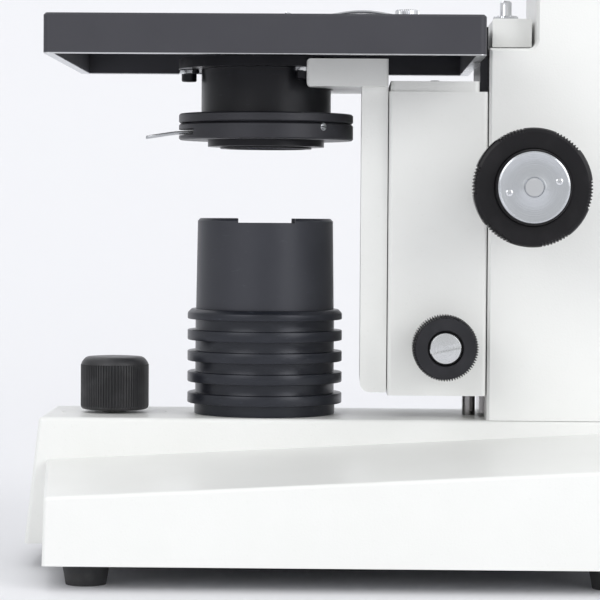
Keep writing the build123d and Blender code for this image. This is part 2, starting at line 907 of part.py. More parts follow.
# ---------------------------------------------------------------- column and arm

def limb():
    """Column and arm in one casting, with the slide's groove in front and a hollow behind it."""
    side = Plane.XZ * make_face(Polyline(
        (column_front_x, deck_z), (column_front_x, ledge_z), (arm_riser_x, ledge_z),
        (arm_riser_x, arm_z), (arm_front_x, arm_z), (arm_front_x, arm_top_z),
        (column_back_x, arm_top_z), (column_back_x, deck_z), close=True,
    ))
    inner = side.vertices().sort_by_distance((arm_riser_x, 0, arm_z))[0]
    outer = side.vertices().sort_by_distance((column_back_x, 0, arm_top_z))[0]
    step = side.vertices().sort_by_distance((arm_riser_x, 0, ledge_z))[0]
    side = fillet([inner], arm_inner_round)
    side = fillet(side.vertices().sort_by_distance(outer)[:1], arm_outer_round)
    side = fillet(side.vertices().sort_by_distance(step)[:1], 2.5)
    casting = extrude(side, column_half_width, both=True)
    nose = casting.edges().filter_by(Axis.Z).group_by(Axis.X)[0]
    casting = fillet(nose, arm_nose_round)
    rim = casting.edges().filter_by(lambda e: abs(abs(e.center().Y) - column_half_width) < 0.1)
    casting = chamfer(rim.filter_by(lambda e: e.center().Z > deck_z + 1), 0.8)
    return casting - limb_cuts()


def limb_cuts():
    """Everything that is cut out of the limb."""
    wall_y = column_half_width - column_wall
    cavity_x = slide_back_x + slide
    cuts = block(
        cavity_x, column_back_x - column_wall, -wall_y, wall_y, deck_z + column_wall, ledge_z - 4.6,
    )
    cuts += block(
        column_front_x - 1, slide_flange_x, -slide_neck_half - slide, slide_neck_half + slide,
        deck_z - 1, ledge_z + 1,
    )
    cuts += block(
        slide_flange_x - slide, cavity_x, -slide_flange_half - slide, slide_flange_half + slide,
        deck_z - 1, ledge_z + 1,
    )
    cuts += block(
        cavity_x - 1, coarse_root_x + rack_tooth * coarse_module + gap, -rack_half_width - gap,
        rack_half_width + gap, deck_z + column_wall, ledge_z - 4.6,
    )
    through = column_half_width + 1
    cuts += across(coarse_bush_radius, focus_axis_x, focus_axis_z, -through, through)
    cuts += block(
        column_back_x - column_wall - 1, column_back_x + 1, -cover_half_width + 2, cover_half_width - 2,
        cover_low + 2, cover_low + cover_height - 2,
    )
    cuts += block(
        column_back_x - cover_thickness, column_back_x + 1, -cover_half_width - set_in,
        cover_half_width + set_in, cover_low - set_in, cover_low + cover_height + set_in,
    )
    cuts += upright(light_bore, arm_z - 1, arm_top_z + 1)
    for y in (-column_half_width / 2, column_half_width / 2):
        cuts += upright(screw_radius + 0.5, deck_z - 1, deck_z + column_wall + 1, column_bolt_x(), y)
    return cuts


def rear_cover():
    """Cover plate let into the back of the column."""
    return block(
        column_back_x - cover_thickness, column_back_x, -cover_half_width, cover_half_width,
        cover_low, cover_low + cover_height,
    )


def column_bolts():
    """The two bolts that hold the column on the base, heads inside the column."""
    places = [(column_bolt_x(), side * column_half_width / 2) for side in (-1, 1)]
    return screws(places, deck_z + column_wall, column_wall + base_wall + 2)


def focus_bushes():
    """Bronze bushes of the coarse tube, in the two side walls of the column."""
    wall_y = column_half_width - column_wall
    side = across_ring(
        coarse_bush_radius, coarse_tube_radius + run, focus_axis_x, focus_axis_z,
        wall_y, column_half_width + 1.0,
    )
    return mirrored(side)


def coarse_tube():
    """The hollow shaft that turns with the coarse knobs."""
    end = coarse_face_y - 2
    return across_ring(
        coarse_tube_radius, fine_shaft_radius + run, focus_axis_x, focus_axis_z, -end, end,
    )


def coarse_pinion():
    """Pinion on the coarse tube, in mesh with the rack of the focusing slide."""
    wheel = gear(coarse_teeth, coarse_module, coarse_tube_radius, 2 * rack_half_width)
    return Pos(focus_axis_x, 0, focus_axis_z) * Rot(90, 0, 0) * wheel


def coarse_knob():
    """Wide rim on a narrower hub; the rim's face is dished for the fine knob."""
    face = coarse_face_y
    start = column_half_width + 1.0 + gap
    rim = across(coarse_radius, focus_axis_x, focus_axis_z, face - coarse_rim, face)
    rim = chamfer(rim.edges().filter_by(GeomType.CIRCLE), 1.0)
    hub = across(coarse_hub_radius, focus_axis_x, focus_axis_z, start, face - coarse_rim)
    knob = rim + hub - across(coarse_tube_radius, focus_axis_x, focus_axis_z, start - 1, face - 2)
    return knob - across(fine_shaft_radius + run, focus_axis_x, focus_axis_z, start, face + 1)


def coarse_knobs():
    """The two coarse knobs."""
    return mirrored(coarse_knob())


def fine_shaft():
    """The shaft inside the coarse tube, polished where its ends show."""
    end = coarse_face_y + gap + fine_thickness + 0.6
    return across(fine_shaft_radius, focus_axis_x, focus_axis_z, -end, end)


def fine_knobs():
    """Black rims of the two fine knobs, each with a recess for its metal insert."""
    near = coarse_face_y + gap
    knob = across(fine_radius, focus_axis_x, focus_axis_z, near, near + fine_thickness)
    knob = chamfer(knob.edges().filter_by(GeomType.CIRCLE).group_by(Axis.Y)[-1], 0.3)
    recess = near + fine_thickness - insert_thickness
    knob -= across(insert_radius, focus_axis_x, focus_axis_z, recess, recess + 5)
    return mirrored(knob - across(fine_shaft_radius, focus_axis_x, focus_axis_z, near - 1, recess + 5))


def insert_screw_places():
    """(x, z) of the two small screws in the face of a fine knob."""
    turn = math.radians(13)
    dx = insert_screw_circle * math.cos(turn)
    dz = insert_screw_circle * math.sin(turn)
    return [(focus_axis_x + dx, focus_axis_z + dz), (focus_axis_x - dx, focus_axis_z - dz)]


def fine_knob_inserts():
    """Turned aluminium faces of the fine knobs."""
    low = coarse_face_y + gap + fine_thickness - insert_thickness
    disc = across(insert_radius, focus_axis_x, focus_axis_z, low, low + insert_thickness + 0.2)
    disc = chamfer(disc.edges().filter_by(GeomType.CIRCLE).group_by(Axis.Y)[-1], 0.6)
    disc -= across(fine_shaft_radius, focus_axis_x, focus_axis_z, low - 1, low + 5)
    for x, z in insert_screw_places():
        disc -= across(insert_screw_radius, x, z, low - 1, low + 5)
    return mirrored(disc)


def fine_knob_screws():
    """Small screws that hold the inserts."""
    low = coarse_face_y + gap + fine_thickness - insert_thickness
    top = low + insert_thickness
    pair = [across(insert_screw_radius, x, z, low, top) for x, z in insert_screw_places()]
    return group(*pair, *[mirror(screw, about=Plane.XZ) for screw in pair])


# ---------------------------------------------------------------- stage carriage

def focus_slide():
    """T-shaped steel slide: its key is let into the block, its flange runs in the column."""
    low = deck_z + slide_foot
    key = block(slide_key_x, column_front_x, -slide_neck_half, slide_neck_half, low, block_top_z)
    neck = block(block_back_x, slide_flange_x + 0.01, -slide_neck_half, slide_neck_half, low, slide_top_z)
    flange = block(slide_flange_x, slide_back_x, -slide_flange_half, slide_flange_half, low, slide_top_z)
    return key + neck + flange


def focus_rack():
    """Rack on the back of the slide, long enough for the whole travel."""
    low = focus_axis_z - focus_travel - 6
    return rack(coarse_root_x, low, focus_axis_z + 8, coarse_module, focus_axis_z, rack_half_width)


def stop_block():
    """Block on top of the slide; it comes down on the ledge of the column."""
    top = slide_top_z + stop_block_height
    body = block(
        stop_block_x, stop_block_x + stop_block_length, -stop_block_half_width, stop_block_half_width,
        slide_top_z, top,
    )
    body = fillet(body.edges().filter_by(Axis.Y).group_by(Axis.Z)[-1], 0.8)
    return body - upright(stop_stem_radius + run, slide_top_z + 3, top + 1, stop_screw_x)


def stop_screw():
    """Knurled screw on the stop block."""
    top = slide_top_z + stop_block_height
    head = upright(stop_screw_radius, top + 0.1, top + 1.8, stop_screw_x)
    stem = upright(stop_stem_radius, slide_top_z + 3.2, top + 1.8 + stop_stem_height, stop_screw_x)
    return head + stem


def guide_rod():
    """Polished rod that stands in the base and guides the block."""
    low = deck_z - rod_depth
    return bevel_ends(upright(rod_radius, low, low + rod_length, rod_x), 0.5)


def rod_bushes():
    """Two bronze bushes in the block's bore."""
    low = block_z
    high = low + rod_length - rod_depth - 25
    rings = []
    for z in (low, high):
        rings.append(upright_ring(bush_radius, rod_radius + run, z, z + bush_length, rod_x))
    return group(*rings)


def carrier_block():
    """Painted block that carries the stage; the condenser's rail runs in its front."""
    body = block(block_front_x, block_back_x, -block_half_width, block_half_width, block_z, block_top_z)
    body = fillet(body.edges().filter_by(Axis.Z), 1.2)
    body -= block(
        slide_key_x, block_back_x + 1, -slide_neck_half, slide_neck_half, block_z - 1, block_top_z + 1,
    )
    body -= block(
        block_front_x - 1, rail_flange_x, -rail_web_half - slide, rail_web_half + slide,
        block_z - 1, block_top_z + 1,
    )
    body -= block(
        rail_flange_x - slide, rail_back_x + slide, -rail_flange_half - slide, rail_flange_half + slide,
        block_z - 1, block_top_z + 1,
    )
    body -= block(
        rail_back_x, condenser_root_x + rack_tooth * condenser_module + gap, -rack_half_width - gap,
        rack_half_width + gap, block_z - 1, condenser_axis_z + rack_length,
    )
    chamber = condenser_pitch_radius + tooth_tip * condenser_module + gap
    half = rack_half_width + gap
    body -= across(chamber, condenser_axis_x, condenser_axis_z, -half, half)
    body -= across(condenser_bush_radius, condenser_axis_x, condenser_axis_z, -block_half_width - 1, 0)
    far = block_half_width / 2 + 1
    body -= across(condenser_shaft_radius + run, condenser_axis_x, condenser_axis_z, 0, far)
    body -= upright(bush_radius, block_z - 1, deck_z + rod_length - rod_depth + focus_travel, rod_x)
    return body


def block_cap():
    """Plate on top of the block, in front of the hanger."""
    cap = block(
        block_front_x + 0.4, stage_back_x - 0.2, -block_half_width + 0.5, block_half_width - 0.5,
        block_top_z, block_top_z + cap_thickness,
    )
    return fillet(cap.edges().filter_by(Axis.Z), 1.5)


def cap_screw():
    """Button-head screw of the block's cap."""
    top = block_top_z + cap_thickness
    return Pos(cap_screw_x, 0, 0) * turned([
        (0, top), (2.5, top), (2.1, top + 0.9), (1.2, top + 1.3), (0, top + 1.3),
    ])


def stage_hanger():
    """Upright plate behind the stage, standing on the block."""
    return block(
        stage_back_x, block_back_x, -hanger_half_width, hanger_half_width, block_top_z, stage_top_z - 1.0,
    )


def stage_plate():
    """Black stage: a plate with a skirt all round and a round aperture."""
    body = block(stage_front_x, stage_back_x, -stage_half_width, stage_half_width, stage_z, stage_top_z)
    body = fillet(body.edges().filter_by(Axis.Z), stage_corner)
    body = chamfer(body.edges().group_by(Axis.Z)[-1], 0.6)
    hollow = block(
        stage_front_x + stage_skirt, stage_back_x - stage_skirt, -stage_half_width + stage_skirt,
        stage_half_width - stage_skirt, stage_z - 1, stage_top_z - stage_thickness,
    )
    body -= hollow
    body -= upright(stage_aperture, stage_z, stage_top_z + 1)
    for side in (-1, 1):
        body -= upright(clip_post_radius + run, stage_z, stage_top_z + 1, clip_x, side * clip_y)
    return body


def clip_spring_strip(side):
    """Springy strip that rises from its post, comes down on the slide and lifts at its tip."""
    low = stage_top_z + gap
    start = clip_x + clip_width / 2
    end = clip_x - clip_reach
    outline = [
        (start, low), (clip_x - 4, low), (clip_x - clip_reach * 0.45, low + 2.2),
        (end + 5, low), (end, low + 2.0),
    ]
    upper = [(x, z + clip_spring) for x, z in reversed(outline)]
    profile = Plane.XZ * make_face(Polyline(*outline, *upper, close=True))
    strip = extrude(profile, clip_width / 2, both=True)
    strip = Pos(0, side * clip_y, 0) * strip
    return strip - upright(clip_post_radius, low - 1, low + 5, clip_x, side * clip_y)


def clip_post(side):
    """Headed post that the clip turns with, through the stage."""
    low = stage_top_z + gap + clip_spring
    post = upright(clip_post_radius, stage_top_z - stage_thickness, low, clip_x, side * clip_y)
    head = upright(clip_head_radius, low, low + clip_head_height, clip_x, side * clip_y)
    return post + fillet(head.edges().group_by(Axis.Z)[-1], 0.8)


# ---------------------------------------------------------------- condenser drive

def condenser_carrier():
    """L-shaped carrier: an upright strip and a fork that holds the condenser's ring."""
    strip = block(
        strip_front_x, strip_back_x, -strip_half_width, strip_half_width,
        block_z + strip_bottom, fork_z + 0.1,
    )
    strip = fillet(strip.edges().filter_by(Axis.Y).group_by(Axis.Z)[0].sort_by(Axis.X)[:1], 3.0)
    fork = block(fork_front_x, strip_back_x, -fork_half_width, fork_half_width, fork_z, fork_top_z)
    fork = fillet(fork.edges().filter_by(Axis.Z) + fork.edges().filter_by(Axis.Y).group_by(Axis.X)[0], 1.2)
    carrier = strip + fork
    carrier -= upright(condenser_radius + 0.6, fork_z - 1, fork_top_z + 1)
    carrier -= upright(holder_radius, holder_z, fork_top_z + 1)
    for x, y in holder_screw_places():
        carrier -= upright(holder_washer_radius + 0.2, fork_z - 1, holder_z + 0.1, x, y)
    return carrier


def condenser_rail():
    """T-shaped rail on the back of the carrier, running in the block."""
    top = rail_z + rail_length
    web = block(strip_back_x, rail_flange_x + 0.01, -rail_web_half, rail_web_half, rail_z, top)
    flange = block(rail_flange_x, rail_back_x, -rail_flange_half, rail_flange_half, rail_z, top)
    return web + flange


def condenser_rack():
    """Rack on the back of the rail."""
    return rack(
        condenser_root_x, rail_z, rail_z + rack_length, condenser_module, condenser_axis_z, rack_half_width,
    )


def condenser_pinion():
    """Pinion of the condenser drive, on its shaft."""
    wheel = gear(condenser_teeth, condenser_module, condenser_shaft_radius, 2 * rack_half_width)
    return Pos(condenser_axis_x, 0, condenser_axis_z) * Rot(90, 0, 0) * wheel


def condenser_bush():
    """Bush of the drive shaft in the near wall of the block."""
    return across_ring(
        condenser_bush_radius, condenser_shaft_radius + run, condenser_axis_x, condenser_axis_z,
        -block_half_width, -rack_half_width - gap,
    )


def condenser_shaft():
    """Drive shaft of the condenser."""
    return across(
        condenser_shaft_radius, condenser_axis_x, condenser_axis_z,
        -condenser_knob_face_y + 4, block_half_width / 2,
    )


def condenser_knob():
    """Knob of the condenser drive, with a recess for its screw."""
    near = -condenser_knob_face_y
    knob = across(
        condenser_knob_radius, condenser_axis_x, condenser_axis_z, near, near + condenser_knob_length,
    )
    knob = chamfer(knob.edges().filter_by(GeomType.CIRCLE), 0.7)
    knob += across(
        condenser_knob_radius - 3, condenser_axis_x, condenser_axis_z,
        near + condenser_knob_length, -block_half_width - gap,
    )
    knob -= across(knob_recess_radius, condenser_axis_x, condenser_axis_z, near - 1, near + 4)
    return knob - across(condenser_shaft_radius, condenser_axis_x, condenser_axis_z, near, 0)


def condenser_knob_screw():
    """Slotted screw that holds the knob on its shaft."""
    near = -condenser_knob_face_y
    head = across(knob_screw_radius, condenser_axis_x, condenser_axis_z, near + 0.2, near + 4)
    head = chamfer(head.edges().filter_by(GeomType.CIRCLE).group_by(Axis.Y)[0], 0.4)
    slot = Box(3 * knob_screw_radius, 2.0, knob_screw_slot)
    return head - Pos(condenser_axis_x, near, condenser_axis_z) * Rot(0, -knob_screw_turn, 0) * slot


# ---------------------------------------------------------------- condenser

def holder_screw_places():
    """(x, y) of the three screws of the condenser's holder."""
    turns = [math.radians(angle) for angle in (60, 180, 300)]
    return [(holder_screw_circle * math.cos(t), holder_screw_circle * math.sin(t)) for t in turns]


def condenser_holder():
    """Ring that holds the condenser, seated in the fork."""
    ring = upright_ring(holder_radius, condenser_radius, holder_z, holder_top_z)
    for x, y in holder_screw_places():
        ring -= upright(1.2, holder_z - 1, holder_z + 2, x, y)
    return ring


def holder_washers():
    """Bright washers under the holder."""
    rings = []
    for x, y in holder_screw_places():
        rings.append(upright_ring(holder_washer_radius, 1.2, holder_z - holder_washer, holder_z, x, y))
    return group(*rings)


def holder_screws():
    """Cap screws that clamp the washers against the holder."""
    top = holder_z - holder_washer
    pieces = []
    for x, y in holder_screw_places():
        head = upright(holder_screw_radius, top - holder_screw_head, top, x, y)
        head = fillet(head.edges().group_by(Axis.Z)[0], 0.3)
        pieces.append(head + upright(1.2, top, holder_z + 2, x, y))
    return group(*pieces)


def condenser_body():
    """Barrel of the condenser, from the iris housing up to its narrower top."""
    inside = condenser_radius - condenser_wall
    return turned([
        (inside, iris_top_z), (condenser_radius, iris_top_z), (condenser_radius, holder_top_z),
        (top_cap_radius, holder_top_z), (top_cap_radius, holder_top_z + top_cap_height),
        (top_lens_radius, holder_top_z + top_cap_height), (top_lens_radius, holder_top_z - 2),
        (inside, holder_top_z - 4),
    ])


def condenser_top_lens():
    """Front lens of the condenser, a little proud of its cell."""
    low = holder_top_z - 1
    edge = holder_top_z + top_cap_height - 0.4
    crown = edge + 0.5
    return turned([
        (0, low), (top_lens_radius, low), (top_lens_radius, edge),
        (top_lens_radius * 0.6, crown - 0.1), (0, crown),
    ])


def iris_housing_upper():
    """Flange above the split line of the iris housing."""
    ring = upright_ring(iris_radius, condenser_radius - condenser_wall, iris_top_z - iris_upper, iris_top_z)
    return chamfer(ring.edges().filter_by(GeomType.CIRCLE).sort_by(SortBy.RADIUS)[-2:], 0.4)


def iris_housing_lower():
    """Cup under the split line: it holds the leaves and lets the lever out through a slot."""
    cup = upright(iris_radius, iris_z, iris_mid_z)
    cup = chamfer(cup.edges().filter_by(GeomType.CIRCLE), 0.4)
    cup += upright(iris_ring_radius + 1.5, iris_mid_z, iris_top_z - iris_upper)
    cup -= upright(iris_bore, iris_z - 1, iris_top_z)
    cup -= upright(iris_ring_radius + gap, iris_z + 1.2, iris_top_z)
    reach = iris_swing + math.degrees(math.asin((lever_width / 2 + gap) / iris_ring_radius))
    edge = reach + iris_slot_margin
    slot = upright(iris_radius + 1, lever_z - gap, lever_z + iris_ring_thickness + gap)
    wedge = make_face(Polyline(
        (0, 0), (-60 * math.cos(math.radians(edge)), 60 * math.sin(math.radians(edge))), (-90, 0),
        (-60 * math.cos(math.radians(edge)), -60 * math.sin(math.radians(edge))), close=True,
    ))
    return cup - (slot & extrude(wedge, iris_top_z, dir=(0, 0, 1)))


def iris_ring():
    """Turning ring of the iris with its bare metal lever."""
    top = lever_z + iris_ring_thickness
    ring = upright_ring(iris_ring_radius, iris_bore + 1, lever_z, top)
    arm = block(-lever_reach, -iris_bore - 2, -lever_width / 2, lever_width / 2, lever_z, top)
    arm = fillet(arm.edges().filter_by(Axis.Z).group_by(Axis.X)[0], 1.5)
    return ring + arm


def iris_leaves():
    """Thin leaves stacked above the ring, each turned on from the last."""
    leaves = []
    low = lever_z + iris_ring_thickness + gap
    for k in range(iris_leaf_count):
        leaf = upright_ring(iris_ring_radius - 0.5, iris_bore - 6, 0, iris_leaf)
        leaf &= block(-2, 40, -40, 40, -1, 1)
        z = low + k * (iris_leaf + 0.03)
        leaves.append(Pos(0, 0, z) * Rot(0, 0, 360 * k / iris_leaf_count) * leaf)
    return group(*leaves)


def condenser_foot_ring():
    """Stepped ring under the iris housing that holds the field lens."""
    low = iris_z - foot_ring_height
    ring = upright_ring(foot_ring_radius, field_lens_radius, low, iris_z)
    return ring + upright_ring(field_ring_radius, field_lens_radius, low - field_ring_height, low)


def field_lens():
    """Lower lens of the condenser."""
    low = iris_z - foot_ring_height - field_ring_height
    return upright(field_lens_radius, low + 0.4, low + 4.0)


# ---------------------------------------------------------------- nosepiece

def on_turret(piece):
    """Bring a piece drawn on its own Z axis onto the turret's axis, +Z pointing down it."""
    return turret_frame.location * piece


def objective_frame(place):
    """Place an objective, drawn downwards from its shoulder, at one of the turret's places."""
    turn = 360 * place / turret_places
    spin = turret_frame.location * Location((0, 0, 0), (0, 0, turn))
    return spin * Location((0, 0, 0), (0, turret_tilt, 0))


def nosepiece_seat():
    """Wedge-shaped seat under the arm, cut square to the turret's axis."""
    drum = upright(seat_radius, apex_z - seat_reach - 10, arm_z, seat_x)
    below = on_turret(Pos(0, 0, turret_top - gap + 50) * Box(300, 300, 100))
    seat = drum - below
    seat -= on_turret(upright(pivot_radius, turret_top - 10, turret_top + 20))
    return seat - upright(light_bore, shoulder_z, arm_z + 1)


def turret_pivot():
    """Stud in the seat that the turret turns on, with a broad slotted head."""
    stud = upright(pivot_radius, turret_top - 10, turret_low + 7.0)
    head = bevel_ends(upright(pivot_radius + 2, turret_low + 7.0, turret_low + 9.0), 0.4)
    slot = Pos(0, 0, turret_low + 9.0) * Box(30, 1.4, 2.0)
    return on_turret(stud + head - slot)


def turret():
    """Turning nosepiece: a shallow cone with four threaded places and a knurled rim."""
    fall = math.tan(math.radians(turret_tilt))
    nose = turret_low + turret_circle * fall + 0.6
    flat = turret_radius - 6
    body = turned([
        (0, turret_top), (turret_radius - 2, turret_top), (turret_radius, turret_top + 2),
        (turret_radius, turret_top + 7), (flat, nose - flat * fall),
        (pivot_radius + 4, nose - (pivot_radius + 4) * fall), (0, nose - (pivot_radius + 4) * fall),
    ])
    body -= upright(pivot_radius + run, turret_top - 1, nose + 5)
    body -= upright(pivot_radius + 2 + gap, turret_low + 7.0 - gap, nose + 5)
    body = on_turret(body)
    for place in range(turret_places):
        hole = upright(thread_radius, seat_reach - 40, seat_reach + 20)
        face = upright(objective_radius + 0.5, seat_reach, seat_reach + 20)
        body -= objective_frame(place) * (hole + face)
    return body


def objective(place):
    """One objective: threaded neck, barrel and a tapered nose, hollow along its axis."""
    length = objective_lengths[place]
    tip = objective_tips[place]
    start = seat_reach
    waist = start + length * 0.62
    outer = [
        (thread_radius, start - thread_length), (thread_radius, start), (objective_radius, start),
        (objective_radius, waist), (tip + 2.5, start + length - 3), (tip + 1, start + length),
    ]
    bore = thread_radius - objective_wall
    inner = [(tip, start + length), (tip, start + length - 2), (bore, waist), (bore, start - thread_length)]
    return objective_frame(place) * turned(outer + inner)


def objective_lenses():
    """Front lenses of the four objectives."""
    lenses = []
    for place in range(turret_places):
        end = seat_reach + objective_lengths[place]
        lens = upright(objective_tips[place], end - 2, end - 0.3)
        lenses.append(objective_frame(place) * lens)
    return group(*lenses)


# ---------------------------------------------------------------- binocular head

def on_face(piece):
    """Bring a piece drawn on the XY plane onto the sloping front of the head."""
    return head_face.location * piece


def head_mount_ring():
    """Ring on the arm that takes the head's neck, drilled for the lock screw."""
    ring = upright_ring(mount_ring_radius, neck_radius + run, arm_top_z, ring_top_z)
    ring = chamfer(ring.edges().filter_by(GeomType.CIRCLE).sort_by(SortBy.RADIUS)[-1:], 0.8)
    z = arm_top_z + mount_ring_height / 2
    return ring - across(lock_stem_radius + run, 0, z, -mount_ring_radius - 1, 0)


def head_lock_screw():
    """Knurled screw that locks the head."""
    z = arm_top_z + mount_ring_height / 2
    near = -mount_ring_radius - gap
    knob = across(lock_radius, 0, z, near - lock_length, near)
    knob = chamfer(knob.edges().filter_by(GeomType.CIRCLE), 0.6)
    return knob + across(lock_stem_radius, 0, z, near, -neck_radius - gap)


def head_ceiling():
    """Height of the roof of the room inside the head."""
    return head_z + face_length * math.cos(lean) - 14


def head_housing():
    """Prism housing of the head, hollow, with two windows in its sloping face."""
    dx = face_length * math.sin(lean)
    dz = face_length * math.cos(lean)
    back = head_front_x + head_depth + 6
    side = Plane.XZ * make_face(Polyline(
        (head_front_x + 6, head_z), (head_front_x, head_z + 3), (head_front_x + dx, head_z + 3 + dz),
        (back - 18, head_z + 3 + dz), (back, head_z + dz - 16), (back, head_z), close=True,
    ))
    body = extrude(side, head_half_width, both=True)
    body = fillet(body.edges().filter_by(lambda e: abs(e.center().Y) > head_half_width - 0.1), 2.0)
    room = block(
        -light_bore - 6, back - head_wall, -head_half_width + head_wall, head_half_width - head_wall,
        head_z + head_wall, head_ceiling(),
    )
    body -= room
    body += upright(mount_ring_radius, ring_top_z + gap, head_z + 1)
    body += upright(neck_radius, ring_top_z - neck_depth, ring_top_z + gap + 1)
    body -= upright(light_bore, ring_top_z - neck_depth - 1, head_z + head_wall + 1)
    for side_y in (-1, 1):
        window = Box(2 * light_bore, 2 * light_bore - 4, 60)
        body -= on_face(Pos(side_y * eye_spacing / 2, 0, -29) * window)
    return body


def beam_splitter():
    """Glass prism block in the middle of the head."""
    low = head_z + head_wall
    return block(-light_bore - 5, light_bore + 5, -12, 12, low, head_ceiling() - gap)


def guide_strips():
    """Upper and lower guides of the tube carriers, each with a lip over the carriers."""
    strips = []
    for side in (-1, 1):
        outer = carrier_half_height + slide + 2.8
        foot = sorted([side * (carrier_half_height + slide), side * outer])
        lip = sorted([side * (outer - guide_width), side * outer])
        strip = block(-head_half_width + 2, head_half_width - 2, *foot, 0, carrier_lip + 2 * slide)
        strip += block(
            -head_half_width + 2, head_half_width - 2, *lip, carrier_lip + 2 * slide, carrier_thickness,
        )
        strips.append(on_face(strip))
    return group(*strips)


def tube_carrier(side):
    """Sliding plate that carries one eyepiece tube."""
    y = side * eye_spacing / 2
    lip = carrier_half_height + slide + 2.8 - guide_width - slide
    plate = block(
        y - carrier_half_width, y + carrier_half_width, -carrier_half_height, carrier_half_height,
        slide, carrier_lip + slide,
    )
    plate += block(
        y - carrier_half_width, y + carrier_half_width, -lip, lip, slide, carrier_thickness + 0.5,
    )
    return on_face(plate - upright(tube_bore - 1, -1, 20, y, 0))


def tube_start():
    """Height of a tube's foot above the head's sloping face."""
    return carrier_thickness + 0.5


def eyepiece_tube(side):
    """Tube that takes the eyepiece."""
    y = side * eye_spacing / 2
    low = tube_start()
    tube = upright_ring(tube_radius, tube_bore, low, low + tube_length, y, 0)
    rim = tube.edges().filter_by(GeomType.CIRCLE).group_by(Axis.Z)[-1].sort_by(SortBy.RADIUS)
    return on_face(chamfer(rim[-1:], 0.8))


def diopter_ring():
    """Knurled ring on the left tube."""
    low = tube_start() + diopter_place
    ring = upright_ring(diopter_radius, tube_radius + run, low, low + diopter_length, eye_spacing / 2, 0)
    outer = ring.edges().filter_by(GeomType.CIRCLE).sort_by(SortBy.RADIUS)[-2:]
    return on_face(chamfer(outer, 0.6))


def spacing_wheel():
    """Wheel between the tubes that sets the eye spacing."""
    wheel = upright(wheel_radius, gap, gap + wheel_height)
    return on_face(chamfer(wheel.edges().filter_by(GeomType.CIRCLE).group_by(Axis.Z)[-1], 0.6))


def eyepiece(side):
    """Eyepiece: a barrel that slides into the tube and a wider body outside it."""
    y = side * eye_spacing / 2
    rest = tube_start() + tube_length + set_in
    top = rest + eyepiece_length
    lens_seat = top - 4
    body = turned([
        (tube_bore - 2, rest - eyepiece_barrel), (tube_bore - run, rest - eyepiece_barrel),
        (tube_bore - run, rest), (eyepiece_radius, rest), (eyepiece_radius, top - eyecup_overlap),
        (eyepiece_radius - 1.5, top - eyecup_overlap), (eyepiece_radius - 1.5, top),
        (eye_lens_radius, top), (eye_lens_radius, lens_seat), (eye_lens_radius - 1.5, lens_seat),
        (eye_lens_radius - 1.5, rest),
    ])
    return on_face(Pos(y, 0, 0) * body)


def eyecup(side):
    """Rubber eyecup over the end of an eyepiece."""
    y = side * eye_spacing / 2
    top = tube_start() + tube_length + set_in + eyepiece_length
    low = top - eyecup_overlap
    cup = turned([
        (eyepiece_radius - 1.5, low), (eyecup_radius, low), (eyecup_radius, low + eyecup_length - 1),
        (eyecup_radius - 1, low + eyecup_length), (eye_lens_radius + 3, low + eyecup_length),
        (eye_lens_radius + 1, top), (eyepiece_radius - 1.5, top),
    ])
    return on_face(Pos(y, 0, 0) * cup)


def eye_lens(side):
    """Eye lens in its seat at the end of an eyepiece."""
    y = side * eye_spacing / 2
    top = tube_start() + tube_length + set_in + eyepiece_length
    return on_face(upright(eye_lens_radius, top - 4, top - 0.8, y, 0))


